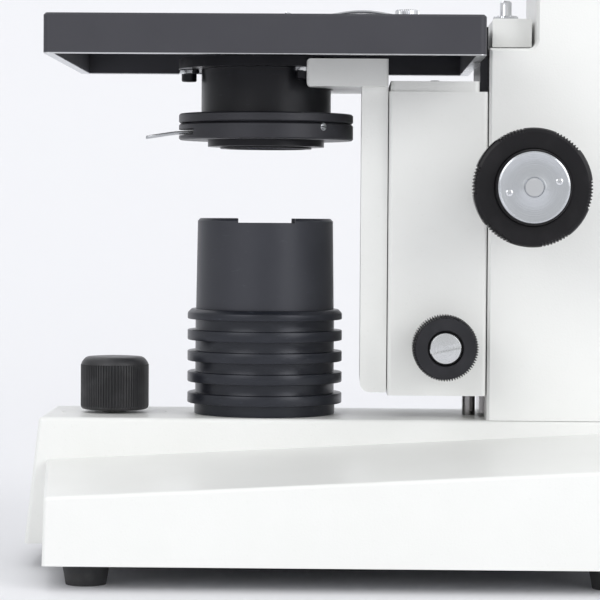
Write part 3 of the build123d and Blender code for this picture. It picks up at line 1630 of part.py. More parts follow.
def assembly():
    """Every sub-part by name, drawn about the optical axis."""
    pieces = {
        "base_casting": base_casting(),
        "bottom_plate": bottom_plate(),
        "rubber_feet": rubber_feet(),
        "fixing_screws": group(foot_screws(), plate_screws(), inlet_screws(), column_bolts()),
        "power_inlet": group(power_inlet(), inlet_blades()),
        "switch_housing": switch_housing(),
        "switch_rocker": rocker(),
        "transformer": group(transformer(), transformer_coil()),
        "dimmer_board": group(dimmer_board(), potentiometer()),
        "brightness_dial": brightness_dial(),
        "brightness_knob": group(brightness_knob(), potentiometer_shaft()),
        "illuminator_housing": illuminator_housing(),
        "filter_sleeve": filter_sleeve(),
        "sleeve_glass": group(collector_lens(), diffuser_disc()),
        "lamp_socket": lamp_socket(),
        "halogen_bulb": halogen_bulb(),
        "limb_casting": limb(),
        "rear_cover": rear_cover(),
        "focus_bushes": focus_bushes(),
        "coarse_shaft": group(coarse_tube(), coarse_pinion()),
        "coarse_knobs": coarse_knobs(),
        "fine_shaft": fine_shaft(),
        "fine_knobs": fine_knobs(),
        "fine_knob_inserts": group(fine_knob_inserts(), fine_knob_screws()),
        "focus_slide": group(focus_slide(), focus_rack()),
        "stop_block": stop_block(),
        "stop_screw": stop_screw(),
        "guide_rod": guide_rod(),
        "carriage_bushes": group(rod_bushes(), condenser_bush()),
        "carrier_block": carrier_block(),
        "block_cap": block_cap(),
        "stage_hanger": group(stage_hanger(), cap_screw()),
        "stage_plate": stage_plate(),
        "left_clip": group(clip_spring_strip(1), clip_post(1)),
        "right_clip": group(clip_spring_strip(-1), clip_post(-1)),
        "condenser_carrier": condenser_carrier(),
        "condenser_rail": group(condenser_rail(), condenser_rack()),
        "condenser_shaft": group(condenser_shaft(), condenser_pinion()),
        "condenser_knob": condenser_knob(),
        "condenser_knob_screw": condenser_knob_screw(),
        "condenser_holder": condenser_holder(),
        "holder_screws": group(holder_screws(), holder_washers()),
        "condenser_body": group(condenser_body(), condenser_foot_ring()),
        "condenser_lenses": group(condenser_top_lens(), field_lens()),
        "iris_housing": group(iris_housing_upper(), iris_housing_lower()),
        "iris_ring": group(iris_ring(), iris_leaves()),
        "nosepiece_seat": group(nosepiece_seat(), turret_pivot()),
        "turret": turret(),
        "objectives": group(objective_lenses(), *[objective(place) for place in range(turret_places)]),
        "head_mount_ring": head_mount_ring(),
        "head_lock_screw": head_lock_screw(),
        "head_housing": group(head_housing(), guide_strips(), beam_splitter()),
        "left_tube": group(tube_carrier(1), eyepiece_tube(1)),
        "right_tube": group(tube_carrier(-1), eyepiece_tube(-1)),
        "diopter_ring": diopter_ring(),
        "spacing_wheel": spacing_wheel(),
        "left_eyepiece": group(eyepiece(1), eye_lens(1)),
        "right_eyepiece": group(eyepiece(-1), eye_lens(-1)),
        "left_eyecup": eyecup(1),
        "right_eyecup": eyecup(-1),
    }
    return pieces


def write(pieces):
    """Move the assembly over its origin, write one STEP file for each sub-part and give the shift."""
    os.makedirs("parts", exist_ok=True)
    boxes = [piece.bounding_box() for piece in pieces.values()]
    shift = -(min(box.min.X for box in boxes) + max(box.max.X for box in boxes)) / 2
    for name, piece in pieces.items():
        solids = piece.solids()
        whole = solids[0] if len(solids) == 1 else Compound(solids)
        export_step(Pos(shift, 0, 0) * whole, os.path.join("parts", name + ".step"))
    return shift


axis_x = write(assembly())
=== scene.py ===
"""Visual model of an upright laboratory microscope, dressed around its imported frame."""
import json
import logging
import math
from dataclasses import dataclass, field
from enum import Enum
from typing import Callable, Iterable, Optional, Sequence, Union

import bpy
from mathutils import Matrix, Vector


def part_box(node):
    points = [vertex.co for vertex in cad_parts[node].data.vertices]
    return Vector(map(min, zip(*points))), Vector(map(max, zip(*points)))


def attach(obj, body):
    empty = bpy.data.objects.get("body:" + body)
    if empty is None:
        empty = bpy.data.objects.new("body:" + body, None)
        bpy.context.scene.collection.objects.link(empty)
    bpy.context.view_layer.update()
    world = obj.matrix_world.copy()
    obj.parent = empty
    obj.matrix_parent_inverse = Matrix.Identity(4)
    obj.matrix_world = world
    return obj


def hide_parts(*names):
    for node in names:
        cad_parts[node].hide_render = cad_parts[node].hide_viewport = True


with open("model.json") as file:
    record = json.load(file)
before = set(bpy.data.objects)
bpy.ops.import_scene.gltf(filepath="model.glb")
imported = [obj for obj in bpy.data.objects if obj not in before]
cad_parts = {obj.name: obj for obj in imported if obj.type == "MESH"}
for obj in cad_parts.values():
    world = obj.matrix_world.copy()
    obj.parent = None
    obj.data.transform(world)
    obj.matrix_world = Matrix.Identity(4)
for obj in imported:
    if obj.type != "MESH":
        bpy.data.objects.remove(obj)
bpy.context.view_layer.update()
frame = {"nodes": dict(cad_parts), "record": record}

log = logging.getLogger("microscope")
MM = 0.001
UP = Vector((0, 0, 1))
Outline = Sequence[tuple[float, float]]


# ------------------------------------------------------------------ shader maths

class Value:
    """A number that changes over a surface: a node's output with arithmetic on it."""

    def __init__(self, shader: "Shader", socket: bpy.types.NodeSocket) -> None:
        """Wrap one output socket of a shader."""
        self.shader = shader
        self.socket = socket

    def __add__(self, other: "Number") -> "Value":
        """Sum."""
        return self.shader.math("ADD", self, other)

    def __sub__(self, other: "Number") -> "Value":
        """Difference."""
        return self.shader.math("SUBTRACT", self, other)

    def __rsub__(self, other: "Number") -> "Value":
        """A number less this value."""
        return self.shader.math("SUBTRACT", other, self)

    def __mul__(self, other: "Number") -> "Value":
        """Product."""
        return self.shader.math("MULTIPLY", self, other)

    def __truediv__(self, other: "Number") -> "Value":
        """Quotient."""
        return self.shader.math("DIVIDE", self, other)

    __radd__ = __add__
    __rmul__ = __mul__

    def above(self, level: float, soft: float) -> "Value":
        """A mask that rises from 0 to 1 where the value passes a level.

        Args:
            level: the value in the middle of the rise.
            soft: the width of the rise.

        Returns:
            The mask, from 0 to 1.
        """
        node = self.shader.node(
            "ShaderNodeMapRange", {"interpolation_type": "SMOOTHSTEP"},
            {"Value": self, "From Min": level - soft / 2, "From Max": level + soft / 2},
        )
        return Value(self.shader, node.outputs["Result"])


Number = Union[Value, float, int]


class Shader:
    """A new material and the nodes that are added to it."""

    def __init__(self, name: str) -> None:
        """Start an empty material.

        Args:
            name: the material's name.
        """
        self.material = bpy.data.materials.new(name)
        self.material.use_nodes = True
        self.tree = self.material.node_tree
        self.tree.nodes.clear()
        self.place = self.node("ShaderNodeTexCoord").outputs["Object"]

    def node(
        self, kind: str, settings: Optional[dict] = None, inputs: Optional[dict] = None,
    ) -> bpy.types.Node:
        """Add a node, set its settings, then fill or link its sockets.

        Args:
            kind: the node's type.
            settings: attributes of the node, and "stops" for a colour ramp.
            inputs: socket name or number to a constant, a Value or an output socket.

        Returns:
            The new node.
        """
        node = self.tree.nodes.new(kind)
        for key, setting in (settings or {}).items():
            if key == "stops":
                ramp = node.color_ramp
                while len(ramp.elements) < len(setting):
                    ramp.elements.new(0.5)
                for stop, (place, shade) in zip(ramp.elements, setting):
                    stop.position = place
                    stop.color = (*shade, 1.0)
            else:
                setattr(node, key, setting)
        for key, source in (inputs or {}).items():
            socket = node.inputs[key]
            if isinstance(source, Value):
                self.tree.links.new(source.socket, socket)
            elif isinstance(source, bpy.types.NodeSocket):
                self.tree.links.new(source, socket)
            else:
                socket.default_value = source
        return node

    def math(self, operation: str, *terms: Number) -> Value:
        """Add a Math node.

        Args:
            operation: the node's operation.
            terms: its inputs, in order.

        Returns:
            The result.
        """
        node = self.node("ShaderNodeMath", {"operation": operation}, dict(enumerate(terms)))
        return Value(self, node.outputs[0])

    def noise(self, size: float, detail: float = 2.0, stretch: Sequence[float] = (1, 1, 1)) -> Value:
        """Soft random pattern in the object's own space.

        Args:
            size: width of a blotch, in millimetres.
            detail: how many finer layers it has.
            stretch: factors on x, y and z; a small one draws the pattern out along that axis.

        Returns:
            The pattern, around 0.5.
        """
        spread = [k / (size * MM) for k in stretch]
        moved = self.node("ShaderNodeMapping", None, {"Vector": self.place, "Scale": spread})
        node = self.node(
            "ShaderNodeTexNoise", {"noise_dimensions": "3D"},
            {"Vector": moved.outputs[0], "Scale": 1.0, "Detail": detail},
        )
        return Value(self, node.outputs[0])

    def height(self) -> Value:
        """Height of the surface above the table, in metres."""
        node = self.node("ShaderNodeSeparateXYZ", None, {0: self.place})
        return Value(self, node.outputs["Z"])

    def radius(self, centre: Vector, axis: Vector) -> Value:
        """Distance from a line, in metres.

        Args:
            centre: a point on the line.
            axis: the line's direction, of length 1.

        Returns:
            The distance at each point of the surface.
        """
        offset = self.node(
            "ShaderNodeVectorMath", {"operation": "SUBTRACT"}, {0: self.place, 1: tuple(centre)},
        )
        cross = self.node(
            "ShaderNodeVectorMath", {"operation": "CROSS_PRODUCT"}, {0: offset.outputs[0], 1: tuple(axis)},
        )
        length = self.node("ShaderNodeVectorMath", {"operation": "LENGTH"}, {0: cross.outputs[0]})
        return Value(self, length.outputs["Value"])

    def rings(self, distance: Value, pitch: float) -> Value:
        """Random concentric rings, as a lathe tool leaves them.

        Args:
            distance: distance from the turned axis.
            pitch: width of the broadest rings, in millimetres.

        Returns:
            The pattern, around 0.5.
        """
        node = self.node(
            "ShaderNodeTexNoise", {"noise_dimensions": "1D"},
            {"W": distance / (pitch * MM), "Scale": 1.0, "Detail": 3.0},
        )
        return Value(self, node.outputs[0])

    def blend(self, factor: Number, low: Sequence[float], high: Sequence[float]) -> bpy.types.NodeSocket:
        """Mix two colours.

        Args:
            factor: 0 gives low, 1 gives high.
            low: the first colour.
            high: the second colour.

        Returns:
            The mixed colour's socket.
        """
        node = self.node("ShaderNodeMix", {"data_type": "RGBA"})
        self.tree.links.new(factor.socket, node.inputs[0])
        node.inputs[6].default_value = (*low, 1.0)
        node.inputs[7].default_value = (*high, 1.0)
        return node.outputs[2]

    def relief(self, height: Value, depth: float) -> bpy.types.NodeSocket:
        """Turn a height pattern into a bumped normal.

        Args:
            height: the pattern, around 0.5.
            depth: its height in millimetres.

        Returns:
            The normal's socket.
        """
        node = self.node(
            "ShaderNodeBump", None, {"Height": height, "Distance": depth * MM, "Strength": 1.0},
        )
        return node.outputs[0]

    def surface(self, **sockets: object) -> bpy.types.Material:
        """Close the material with a Principled shader.

        Args:
            sockets: socket names with underscores for spaces, and their values or links.

        Returns:
            The finished material.
        """
        named = {}
        for key, source in sockets.items():
            if isinstance(source, tuple) and len(source) == 3:
                source = (*source, 1.0)
            named[key.replace("_", " ")] = source
        self.front = self.node("ShaderNodeBsdfPrincipled", None, named)
        self.out = self.node("ShaderNodeOutputMaterial")
        self.tree.links.new(self.front.outputs[0], self.out.inputs[0])
        return self.material

    def clear_from_behind(self) -> None:
        """Let the eye through a finished material where it is seen from behind."""
        side = self.node("ShaderNodeNewGeometry")
        clear = self.node("ShaderNodeBsdfTransparent")
        mix = self.node(
            "ShaderNodeMixShader", None,
            {0: side.outputs["Backfacing"], 1: self.front.outputs[0], 2: clear.outputs[0]},
        )
        self.tree.links.new(mix.outputs[0], self.out.inputs[0])


# ------------------------------------------------------------------ finishes

@dataclass(frozen=True)
class Enamel:
    """Stoved enamel: a fine orange peel or a coarse hammer grain, a little uneven in tone."""

    name: str
    colour: tuple[float, float, float]
    shade: tuple[float, float, float]
    grain: float = 0.55
    depth: float = 0.030
    roughness: float = 0.40
    blotch: float = 34.0
    speck: float = 0.9
    coat: float = 0.15
    coat_roughness: float = 0.22

    def material(self) -> bpy.types.Material:
        """Build the enamel.

        Returns:
            The material.
        """
        shader = Shader(self.name)
        peel = shader.noise(self.grain, 2.0)
        broad = shader.noise(self.blotch, 3.0)
        speck = shader.noise(self.speck, 1.0).above(0.72, 0.06)
        tone = shader.blend((broad.above(0.5, 0.5) * 0.5) + speck * 0.35, self.colour, self.shade)
        rough = self.roughness + (broad - 0.5) * 0.12 + (peel - 0.5) * 0.10
        return shader.surface(
            Base_Color=tone, Roughness=rough, Normal=shader.relief(peel, self.depth),
            Coat_Weight=self.coat, Coat_Roughness=self.coat_roughness,
        )


@dataclass(frozen=True)
class Blackened:
    """Black anodised or stoved metal: satin, with a fine matt tooth and pale worn spots."""

    name: str
    colour: tuple[float, float, float]
    wear: tuple[float, float, float]
    roughness: float = 0.36
    grain: float = 0.22
    depth: float = 0.006
    metallic: float = 0.35
    gleam: float = 0.5
    blotch: float = 11.0
    scuff: float = 2.6
    scuff_stretch: tuple[float, float, float] = (1.0, 1.0, 3.2)

    def material(self) -> bpy.types.Material:
        """Build the black finish.

        Returns:
            The material.
        """
        shader = Shader(self.name)
        tooth = shader.noise(self.grain, 2.0)
        cloud = shader.noise(self.blotch, 4.0)
        scuff = shader.noise(self.scuff, 6.0, self.scuff_stretch).above(0.69, 0.12)
        tone = shader.blend(scuff * 0.30 + cloud * 0.25, self.colour, self.wear)
        rough = self.roughness + (cloud - 0.5) * 0.16 + (tooth - 0.5) * 0.12 + scuff * 0.08
        return shader.surface(
            Base_Color=tone, Roughness=rough, Metallic=self.metallic, Specular_IOR_Level=self.gleam,
            Normal=shader.relief(tooth, self.depth),
        )


@dataclass(frozen=True)
class RimmedBlack:
    """Stoved black with a painted highlight along its lower edge: a narrow band of bright, shiny metal
    colour.
    """

    name: str
    colour: tuple[float, float, float]
    wear: tuple[float, float, float]
    # colour of the painted highlight band along the lower edge
    metal: tuple[float, float, float]
    low: float
    # width of the painted highlight band, in millimetres
    rim: float = 0.45
    grain: float = 0.16
    depth: float = 0.008
    blotch: float = 14.0
    gleam: float = 0.35

    def material(self) -> bpy.types.Material:
        """Build the black with its painted edge highlight.

        Returns:
            The material.
        """
        shader = Shader(self.name)
        tooth = shader.noise(self.grain, 2.0)
        cloud = shader.noise(self.blotch, 4.0)
        # painted highlight: the thin strip at the plate's lower edge gets bright metal colour, lower
        # roughness and full metallic
        painted_highlight_band = 1 - shader.height().above(self.low + self.rim * MM, 0.12 * MM)
        painted = shader.blend(cloud * 0.45 + (tooth - 0.5) * 0.3, self.colour, self.wear)
        tone = shader.node(
            "ShaderNodeMix", {"data_type": "RGBA"}, {0: painted_highlight_band, 6: painted, 7: (*self.metal, 1.0)},
        )
        rough = 0.46 + (cloud - 0.5) * 0.14 - painted_highlight_band * 0.18
        return shader.surface(
            Base_Color=tone.outputs[2], Roughness=rough, Metallic=painted_highlight_band, Specular_IOR_Level=self.gleam,
            Normal=shader.relief(tooth, self.depth),
        )


@dataclass(frozen=True)
class Moulded:
    """Moulded plastic or rubber: matt grain and a faint bloom of dust."""

    name: str
    colour: tuple[float, float, float]
    bloom: tuple[float, float, float]
    roughness: float = 0.45
    grain: float = 0.35
    depth: float = 0.010
    gleam: float = 0.5
    dust: float = 6.0

    def material(self) -> bpy.types.Material:
        """Build the moulded finish.

        Returns:
            The material.
        """
        shader = Shader(self.name)
        grain = shader.noise(self.grain, 3.0)
        dust = shader.noise(self.dust, 5.0)
        tone = shader.blend(dust.above(0.58, 0.3) * 0.6, self.colour, self.bloom)
        rough = self.roughness + (dust - 0.5) * 0.18 + (grain - 0.5) * 0.08
        return shader.surface(
            Base_Color=tone, Roughness=rough, Specular_IOR_Level=self.gleam,
            Normal=shader.relief(grain, self.depth),
        )


@dataclass(frozen=True)
class Ground:
    """Bare metal with straight grinding lines along one axis."""

    name: str
    colour: tuple[float, float, float]
    shade: tuple[float, float, float]
    along: tuple[float, float, float] = (1.0, 1.0, 0.03)
    roughness: float = 0.26
    depth: float = 0.004
    line: float = 0.16
    blotch: float = 9.0

    def material(self) -> bpy.types.Material:
        """Build the ground finish.

        Returns:
            The material.
        """
        shader = Shader(self.name)
        lines = shader.noise(self.line, 3.0, self.along)
        cloud = shader.noise(self.blotch, 3.0)
        tone = shader.blend(lines * 0.55 + cloud * 0.35, self.colour, self.shade)
        rough = self.roughness + (lines - 0.5) * 0.20 + (cloud - 0.5) * 0.10
        return shader.surface(
            Base_Color=tone, Roughness=rough, Metallic=1.0, Normal=shader.relief(lines, self.depth),
        )


@dataclass(frozen=True)
class Turned:
    """Lathe-turned metal with concentric tool marks about its axis."""

    name: str
    colour: tuple[float, float, float]
    shade: tuple[float, float, float]
    centre: tuple[float, float, float]
    axis: tuple[float, float, float]
    pitch: float = 0.30
    depth: float = 0.010
    roughness: float = 0.24
    blotch: float = 3.5

    def material(self) -> bpy.types.Material:
        """Build the turned finish.

        Returns:
            The material.
        """
        shader = Shader(self.name)
        distance = shader.radius(Vector(self.centre), Vector(self.axis))
        marks = shader.rings(distance, self.pitch)
        cloud = shader.noise(self.blotch, 3.0)
        tone = shader.blend(marks * 0.7 + cloud * 0.2, self.colour, self.shade)
        rough = self.roughness + (marks - 0.5) * 0.22 + (cloud - 0.5) * 0.06
        return shader.surface(
            Base_Color=tone, Roughness=rough, Metallic=1.0, Normal=shader.relief(marks, self.depth),
        )


@dataclass(frozen=True)
class Lens:
    """Coated optical glass: clear, with a faint coloured coating and a little dust."""

    name: str
    colour: tuple[float, float, float]
    polish: float = 0.03
    speck: float = 1.4
    clearness: float = 0.85
    index: float = 1.52
    coating: tuple[float, float, float] = (0.55, 0.62, 0.95)
    dust: tuple[float, float, float] = (0.9, 0.9, 0.9)

    def material(self) -> bpy.types.Material:
        """Build the glass.

        Returns:
            The material.
        """
        shader = Shader(self.name)
        dust = shader.noise(self.speck, 4.0).above(0.66, 0.16)
        rough = self.polish + dust * 0.10
        tone = shader.blend(dust * 0.3, self.colour, self.dust)
        return shader.surface(
            Base_Color=tone, Roughness=rough, Transmission_Weight=self.clearness, IOR=self.index,
            Coat_Weight=0.5, Coat_Roughness=self.polish, Coat_Tint=self.coating,
        )


class Stock(Enum):
    """Every finish that is used without a place of its own."""

    IVORY = Enamel("ivory_enamel", (0.835, 0.84, 0.825), (0.785, 0.79, 0.77))
    GREY = Enamel("grey_hammer_enamel", (0.86, 0.865, 0.85), (0.79, 0.795, 0.775), 0.8, 0.045, 0.42)
    SATIN = Blackened(
        "satin_black", (0.008, 0.008, 0.0105), (0.038, 0.039, 0.048), 0.34, 0.22, 0.006, 0.35, 0.4,
    )
    HOUSE = Blackened("lamp_house_black", (0.012, 0.0135, 0.0195), (0.062, 0.067, 0.088), 0.34)
    IRIS = Blackened("iris_housing_black", (0.023, 0.023, 0.029), (0.080, 0.082, 0.094), 0.40)
    KNOB = Moulded("knob_black", (0.018, 0.018, 0.020), (0.045, 0.045, 0.048), 0.42)
    FOCUS_KNOB = Moulded(
        "focus_knob_black", (0.005, 0.0045, 0.006), (0.012, 0.011, 0.013), 0.36, 0.35, 0.010, 0.26,
    )
    CONDENSER_KNOB = Moulded(
        "condenser_knob_black", (0.009, 0.009, 0.012), (0.018, 0.018, 0.022), 0.40, 0.35, 0.010, 0.36,
    )
    GLOSS = Moulded("gloss_black", (0.007, 0.007, 0.008), (0.016, 0.016, 0.018), 0.24, 0.5, 0.004)
    RUBBER = Moulded("foot_rubber", (0.030, 0.030, 0.032), (0.065, 0.065, 0.065), 0.72, 0.4, 0.02)
    STEEL = Ground("ground_steel", (0.52, 0.53, 0.55), (0.36, 0.37, 0.39))
    SPRING = Ground("spring_steel", (0.70, 0.71, 0.73), (0.50, 0.51, 0.53), (0.03, 1.0, 1.0), 0.18, 0.003)
    DARK_STEEL = Ground("oiled_steel", (0.20, 0.20, 0.21), (0.10, 0.10, 0.11))
    SLEEVE = Blackened("sleeve_black", (0.027, 0.0285, 0.037), (0.072, 0.075, 0.090), 0.42, 0.2, 0.005, 0.3)
    DARK_CHROME = Ground(
        "dark_chrome", (0.34, 0.33, 0.33), (0.16, 0.155, 0.155), (1.0, 1.0, 0.05), 0.16, 0.002,
    )
    CHROME = Ground("bright_chrome", (0.80, 0.81, 0.83), (0.66, 0.67, 0.70), (1.0, 1.0, 1.0), 0.10, 0.001)
    BRONZE = Ground("bearing_bronze", (0.62, 0.42, 0.20), (0.42, 0.27, 0.12))
    LAMINATED = Ground("core_laminations", (0.30, 0.30, 0.31), (0.12, 0.12, 0.12), (8.0, 0.02, 0.02), 0.45)
    CERAMIC = Moulded("lamp_ceramic", (0.78, 0.75, 0.68), (0.66, 0.62, 0.55), 0.7, 0.3, 0.02)
    BOARD = Moulded("circuit_board", (0.03, 0.16, 0.07), (0.05, 0.22, 0.10), 0.35)
    GLASS = Lens("coated_glass", (0.93, 0.96, 0.97))
    RED = Moulded("band_red", (0.55, 0.03, 0.03), (0.45, 0.05, 0.04), 0.35)
    YELLOW = Moulded("band_yellow", (0.80, 0.55, 0.03), (0.70, 0.48, 0.05), 0.35)
    BLUE = Moulded("band_blue", (0.04, 0.20, 0.60), (0.05, 0.18, 0.45), 0.35)
    WHITE = Moulded("band_white", (0.82, 0.82, 0.80), (0.72, 0.72, 0.70), 0.35)


class Cupboard:
    """Makes each finish once and hands out its material."""

    def __init__(self) -> None:
        """Start with nothing made."""
        self.made: dict[str, bpy.types.Material] = {}

    def get(self, finish: object) -> bpy.types.Material:
        """The material of a finish.

        Args:
            finish: a member of Stock, or a finish of its own.

        Returns:
            The material, made on first use.
        """
        recipe = finish.value if isinstance(finish, Stock) else finish
        if recipe.name not in self.made:
            self.made[recipe.name] = recipe.material()
        return self.made[recipe.name]


FINISHES = Cupboard()


def dress(node: str, finish: object) -> None:
    """Give a node of the frame its finish.

    Args:
        node: the node's name.
        finish: a member of Stock, or a finish of its own.
    """
    piece = frame["nodes"][node]
    material = FINISHES.get(finish)
    if not piece.material_slots:
        piece.data.materials.append(material)
    for holder in piece.material_slots:
        holder.material = material
    log.info("dressed %s with %s", node, material.name)


def middle(node: str) -> Vector:
    """The centre of a node's box."""
    low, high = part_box(node)
    return (Vector(low) + Vector(high)) / 2


def pivot(name: str) -> tuple[Vector, Vector]:
    """Place and axis of a hinge of the frame.

    Args:
        name: the joint's name.

    Returns:
        A point on its axis, in metres, and the axis.
    """
    joint = next(j for j in frame["record"]["behaviour"]["joints"] if j["name"] == name)
    return Vector(joint.get("pos_m", (0, 0, 0))), Vector(joint["axis"]).normalized()


# ------------------------------------------------------------------ modelling

class Bench:
    """Hand tools: each works on the active mesh in edit mode, in millimetres."""

    @staticmethod
    def release() -> None:
        """Deselect every object."""
        if bpy.context.object and bpy.context.object.mode != "OBJECT":
            bpy.ops.object.mode_set(mode="OBJECT")
        bpy.ops.object.select_all(action="DESELECT")

    @staticmethod
    def pick(kind: str, test: Callable[[object], bool]) -> int:
        """Select the vertices, edges or faces that pass a test.

        Args:
            kind: VERT, EDGE or FACE.
            test: takes a mesh element, with places in metres.

        Returns:
            How many were selected.
        """
        bpy.ops.mesh.select_mode(type=kind)
        bpy.ops.mesh.select_all(action="DESELECT")
        bpy.ops.object.mode_set(mode="OBJECT")
        mesh = bpy.context.object.data
        group = {"VERT": mesh.vertices, "EDGE": mesh.edges, "FACE": mesh.polygons}[kind]
        count = 0
        for item in group:
            item.select = test(item)
            count += item.select
        bpy.ops.object.mode_set(mode="EDIT")
        return count

    @staticmethod
    def turn(name: str, outline: Outline, steps: int = 96, closed: bool = False) -> bpy.types.Object:
        """Turn a piece about Z: a ring is extruded and resized from one corner to the next.

        Args:
            name: the piece's name.
            outline: corners as (radius, height), from the foot up the outside.
            steps: how many sides the piece has.
            closed: the outline comes back to its start, as a ring's does, instead of being capped.

        Returns:
            The piece, in object mode.
        """
        Bench.release()
        radius, height = outline[0]
        bpy.ops.mesh.primitive_circle_add(
            vertices=steps, radius=radius * MM, location=(0, 0, height * MM),
            fill_type="NOTHING" if closed else "NGON",
        )
        piece = bpy.context.object
        piece.name = piece.data.name = name
        bpy.ops.object.transform_apply(location=True, rotation=True, scale=True)
        bpy.ops.object.mode_set(mode="EDIT")
        bpy.ops.mesh.select_all(action="SELECT")
        if not closed:
            bpy.ops.mesh.select_mode(type="EDGE")
        corners = list(outline[1:]) + ([outline[0]] if closed else [])
        for step, (wide, tall) in enumerate(corners):
            shift = (0, 0, (tall - height) * MM)
            if step == 0 and not closed:
                bpy.ops.mesh.extrude_region_move(TRANSFORM_OT_translate={"value": shift})
            else:
                bpy.ops.mesh.extrude_edges_move(TRANSFORM_OT_translate={"value": shift})
            scale = wide / radius
            bpy.ops.transform.resize(value=(scale, scale, 1), center_override=(0, 0, tall * MM))
            radius, height = wide, tall
        if closed:
            bpy.ops.mesh.select_all(action="SELECT")
            bpy.ops.mesh.remove_doubles(threshold=1e-7)
        else:
            bpy.ops.mesh.edge_face_add()
            bpy.ops.mesh.select_all(action="SELECT")
        bpy.ops.mesh.normals_make_consistent(inside=False)
        bpy.ops.object.mode_set(mode="OBJECT")
        return piece

    @staticmethod
    def flute(
        piece: bpy.types.Object, ribs: int, depth: float, reach: tuple[float, float],
        from_radius: float, zones: Optional[Callable[[float], bool]] = None,
    ) -> None:
        """Press fine ribs into the side of a turned piece.

        Args:
            piece: a piece from turn, with four sides for each rib.
            ribs: how many ribs go round.
            depth: depth of a groove, in millimetres.
            reach: lowest and highest point of the ribs, in millimetres.
            from_radius: only corners further out than this move, in millimetres.
            zones: says of an angle whether it has ribs; none means all round.
        """
        Bench.activate(piece)
        bpy.ops.object.mode_set(mode="EDIT")
        low, high = reach

        def in_groove(corner: bpy.types.MeshVertex) -> bool:
            """Whether a corner of the piece is pressed in.

            Args:
                corner: a corner of the mesh.

            Returns:
                True where it lies in a groove.
            """
            angle = math.atan2(corner.co.y, corner.co.x) % (2 * math.pi)
            inside = low * MM - 1e-6 <= corner.co.z <= high * MM + 1e-6
            outer = math.hypot(corner.co.x, corner.co.y) > from_radius * MM
            part = (angle * ribs / (2 * math.pi) + 0.125) % 1.0
            return inside and outer and part < 0.5 and (zones is None or zones(angle))

        Bench.pick("VERT", in_groove)
        radius = max(math.hypot(v.co.x, v.co.y) for v in piece.data.vertices)
        scale = 1 - depth * MM / radius
        bpy.ops.transform.resize(value=(scale, scale, 1), center_override=(0, 0, 0))
        bpy.ops.object.mode_set(mode="OBJECT")

    @staticmethod
    def activate(piece: bpy.types.Object) -> None:
        """Make a piece the only selected one.

        Args:
            piece: the piece.
        """
        Bench.release()
        piece.select_set(True)
        bpy.context.view_layer.objects.active = piece

    @staticmethod
    def round_edges(piece: bpy.types.Object, width: float, segments: int = 2, angle: float = 35.0) -> None:
        """Round every sharp edge with an applied Bevel.

        Args:
            piece: the piece to work on.
            width: width of the rounding, in millimetres.
            segments: how many strips it has.
            angle: the least angle that counts as sharp, in degrees.
        """
        Bench.activate(piece)
        bevel = piece.modifiers.new("rounding", "BEVEL")
        bevel.width = width * MM
        bevel.segments = segments
        bevel.limit_method = "ANGLE"
        bevel.angle_limit = math.radians(angle)
        bpy.ops.object.modifier_apply(modifier=bevel.name)

    @staticmethod
    def box(name: str, low: Sequence[float], high: Sequence[float]) -> bpy.types.Object:
        """A block between two corners.

        Args:
            name: the piece's name.
            low: the lowest corner, in millimetres.
            high: the highest corner, in millimetres.

        Returns:
            The piece, in object mode.
        """
        Bench.release()
        centre = [(a + b) / 2 * MM for a, b in zip(low, high)]
        spans = [(b - a) * MM for a, b in zip(low, high)]
        bpy.ops.mesh.primitive_cube_add(size=1, location=centre, scale=spans)
        piece = bpy.context.object
        piece.name = piece.data.name = name
        bpy.ops.object.transform_apply(location=True, rotation=True, scale=True)
        return piece

    @staticmethod
    def cut(piece: bpy.types.Object, *cutters: bpy.types.Object) -> None:
        """Cut pieces out of another and throw them away.

        Args:
            piece: the piece to cut.
            cutters: what is cut out of it.
        """
        for cutter in cutters:
            Bench.activate(piece)
            boolean = piece.modifiers.new("cut", "BOOLEAN")
            boolean.operation = "DIFFERENCE"
            boolean.solver = "EXACT"
            boolean.object = cutter
            bpy.ops.object.modifier_apply(modifier=boolean.name)
            bpy.data.objects.remove(cutter, do_unlink=True)

    @staticmethod
    def put(piece: bpy.types.Object, place: Vector, axis: Vector, spin: float = 0.0) -> bpy.types.Object:
        """Stand a piece drawn about Z on a place, with its Z axis along a direction.

        Args:
            piece: the piece.
            place: where its origin goes, in metres.
            axis: where its Z axis points.
            spin: turn about that axis first, in degrees.

        Returns:
            The piece, with its place in its mesh.
        """
        turn = UP.rotation_difference(Vector(axis)).to_matrix().to_4x4()
        piece.matrix_world = Matrix.Translation(place) @ turn @ Matrix.Rotation(math.radians(spin), 4, "Z")
        Bench.activate(piece)
        bpy.ops.object.transform_apply(location=True, rotation=True, scale=True)
        return piece

    @staticmethod
    def copy(piece: bpy.types.Object, name: str) -> bpy.types.Object:
        """Copy a piece with a mesh of its own.

        Args:
            piece: the piece to copy.
            name: the copy's name.

        Returns:
            The copy.
        """
        twin = piece.copy()
        twin.data = piece.data.copy()
        twin.name = twin.data.name = name
        bpy.context.scene.collection.objects.link(twin)
        return twin

    @staticmethod
    def finish(
        piece: bpy.types.Object, finish: object, body: str, replaces: Iterable[str] = (),
        slot: Optional[str] = None, angle: float = 32.0,
    ) -> bpy.types.Object:
        """Shade, dress and hand over a finished piece.

        Args:
            piece: the piece.
            finish: its finish.
            body: the body that it rides on.
            replaces: nodes of the frame that it stands for.
            slot: the record's material slot; not used.
            angle: edges sharper than this stay sharp, in degrees.

        Returns:
            The piece.
        """
        Bench.activate(piece)
        bpy.ops.object.shade_smooth_by_angle(angle=math.radians(angle))
        piece.data.materials.clear()
        piece.data.materials.append(FINISHES.get(finish))
        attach(piece, body)
        if replaces:
            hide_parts(*replaces)
        log.info("made %s: %d faces, rides on %s", piece.name, len(piece.data.polygons), body)
        return piece


# ------------------------------------------------------------------ sub-assemblies

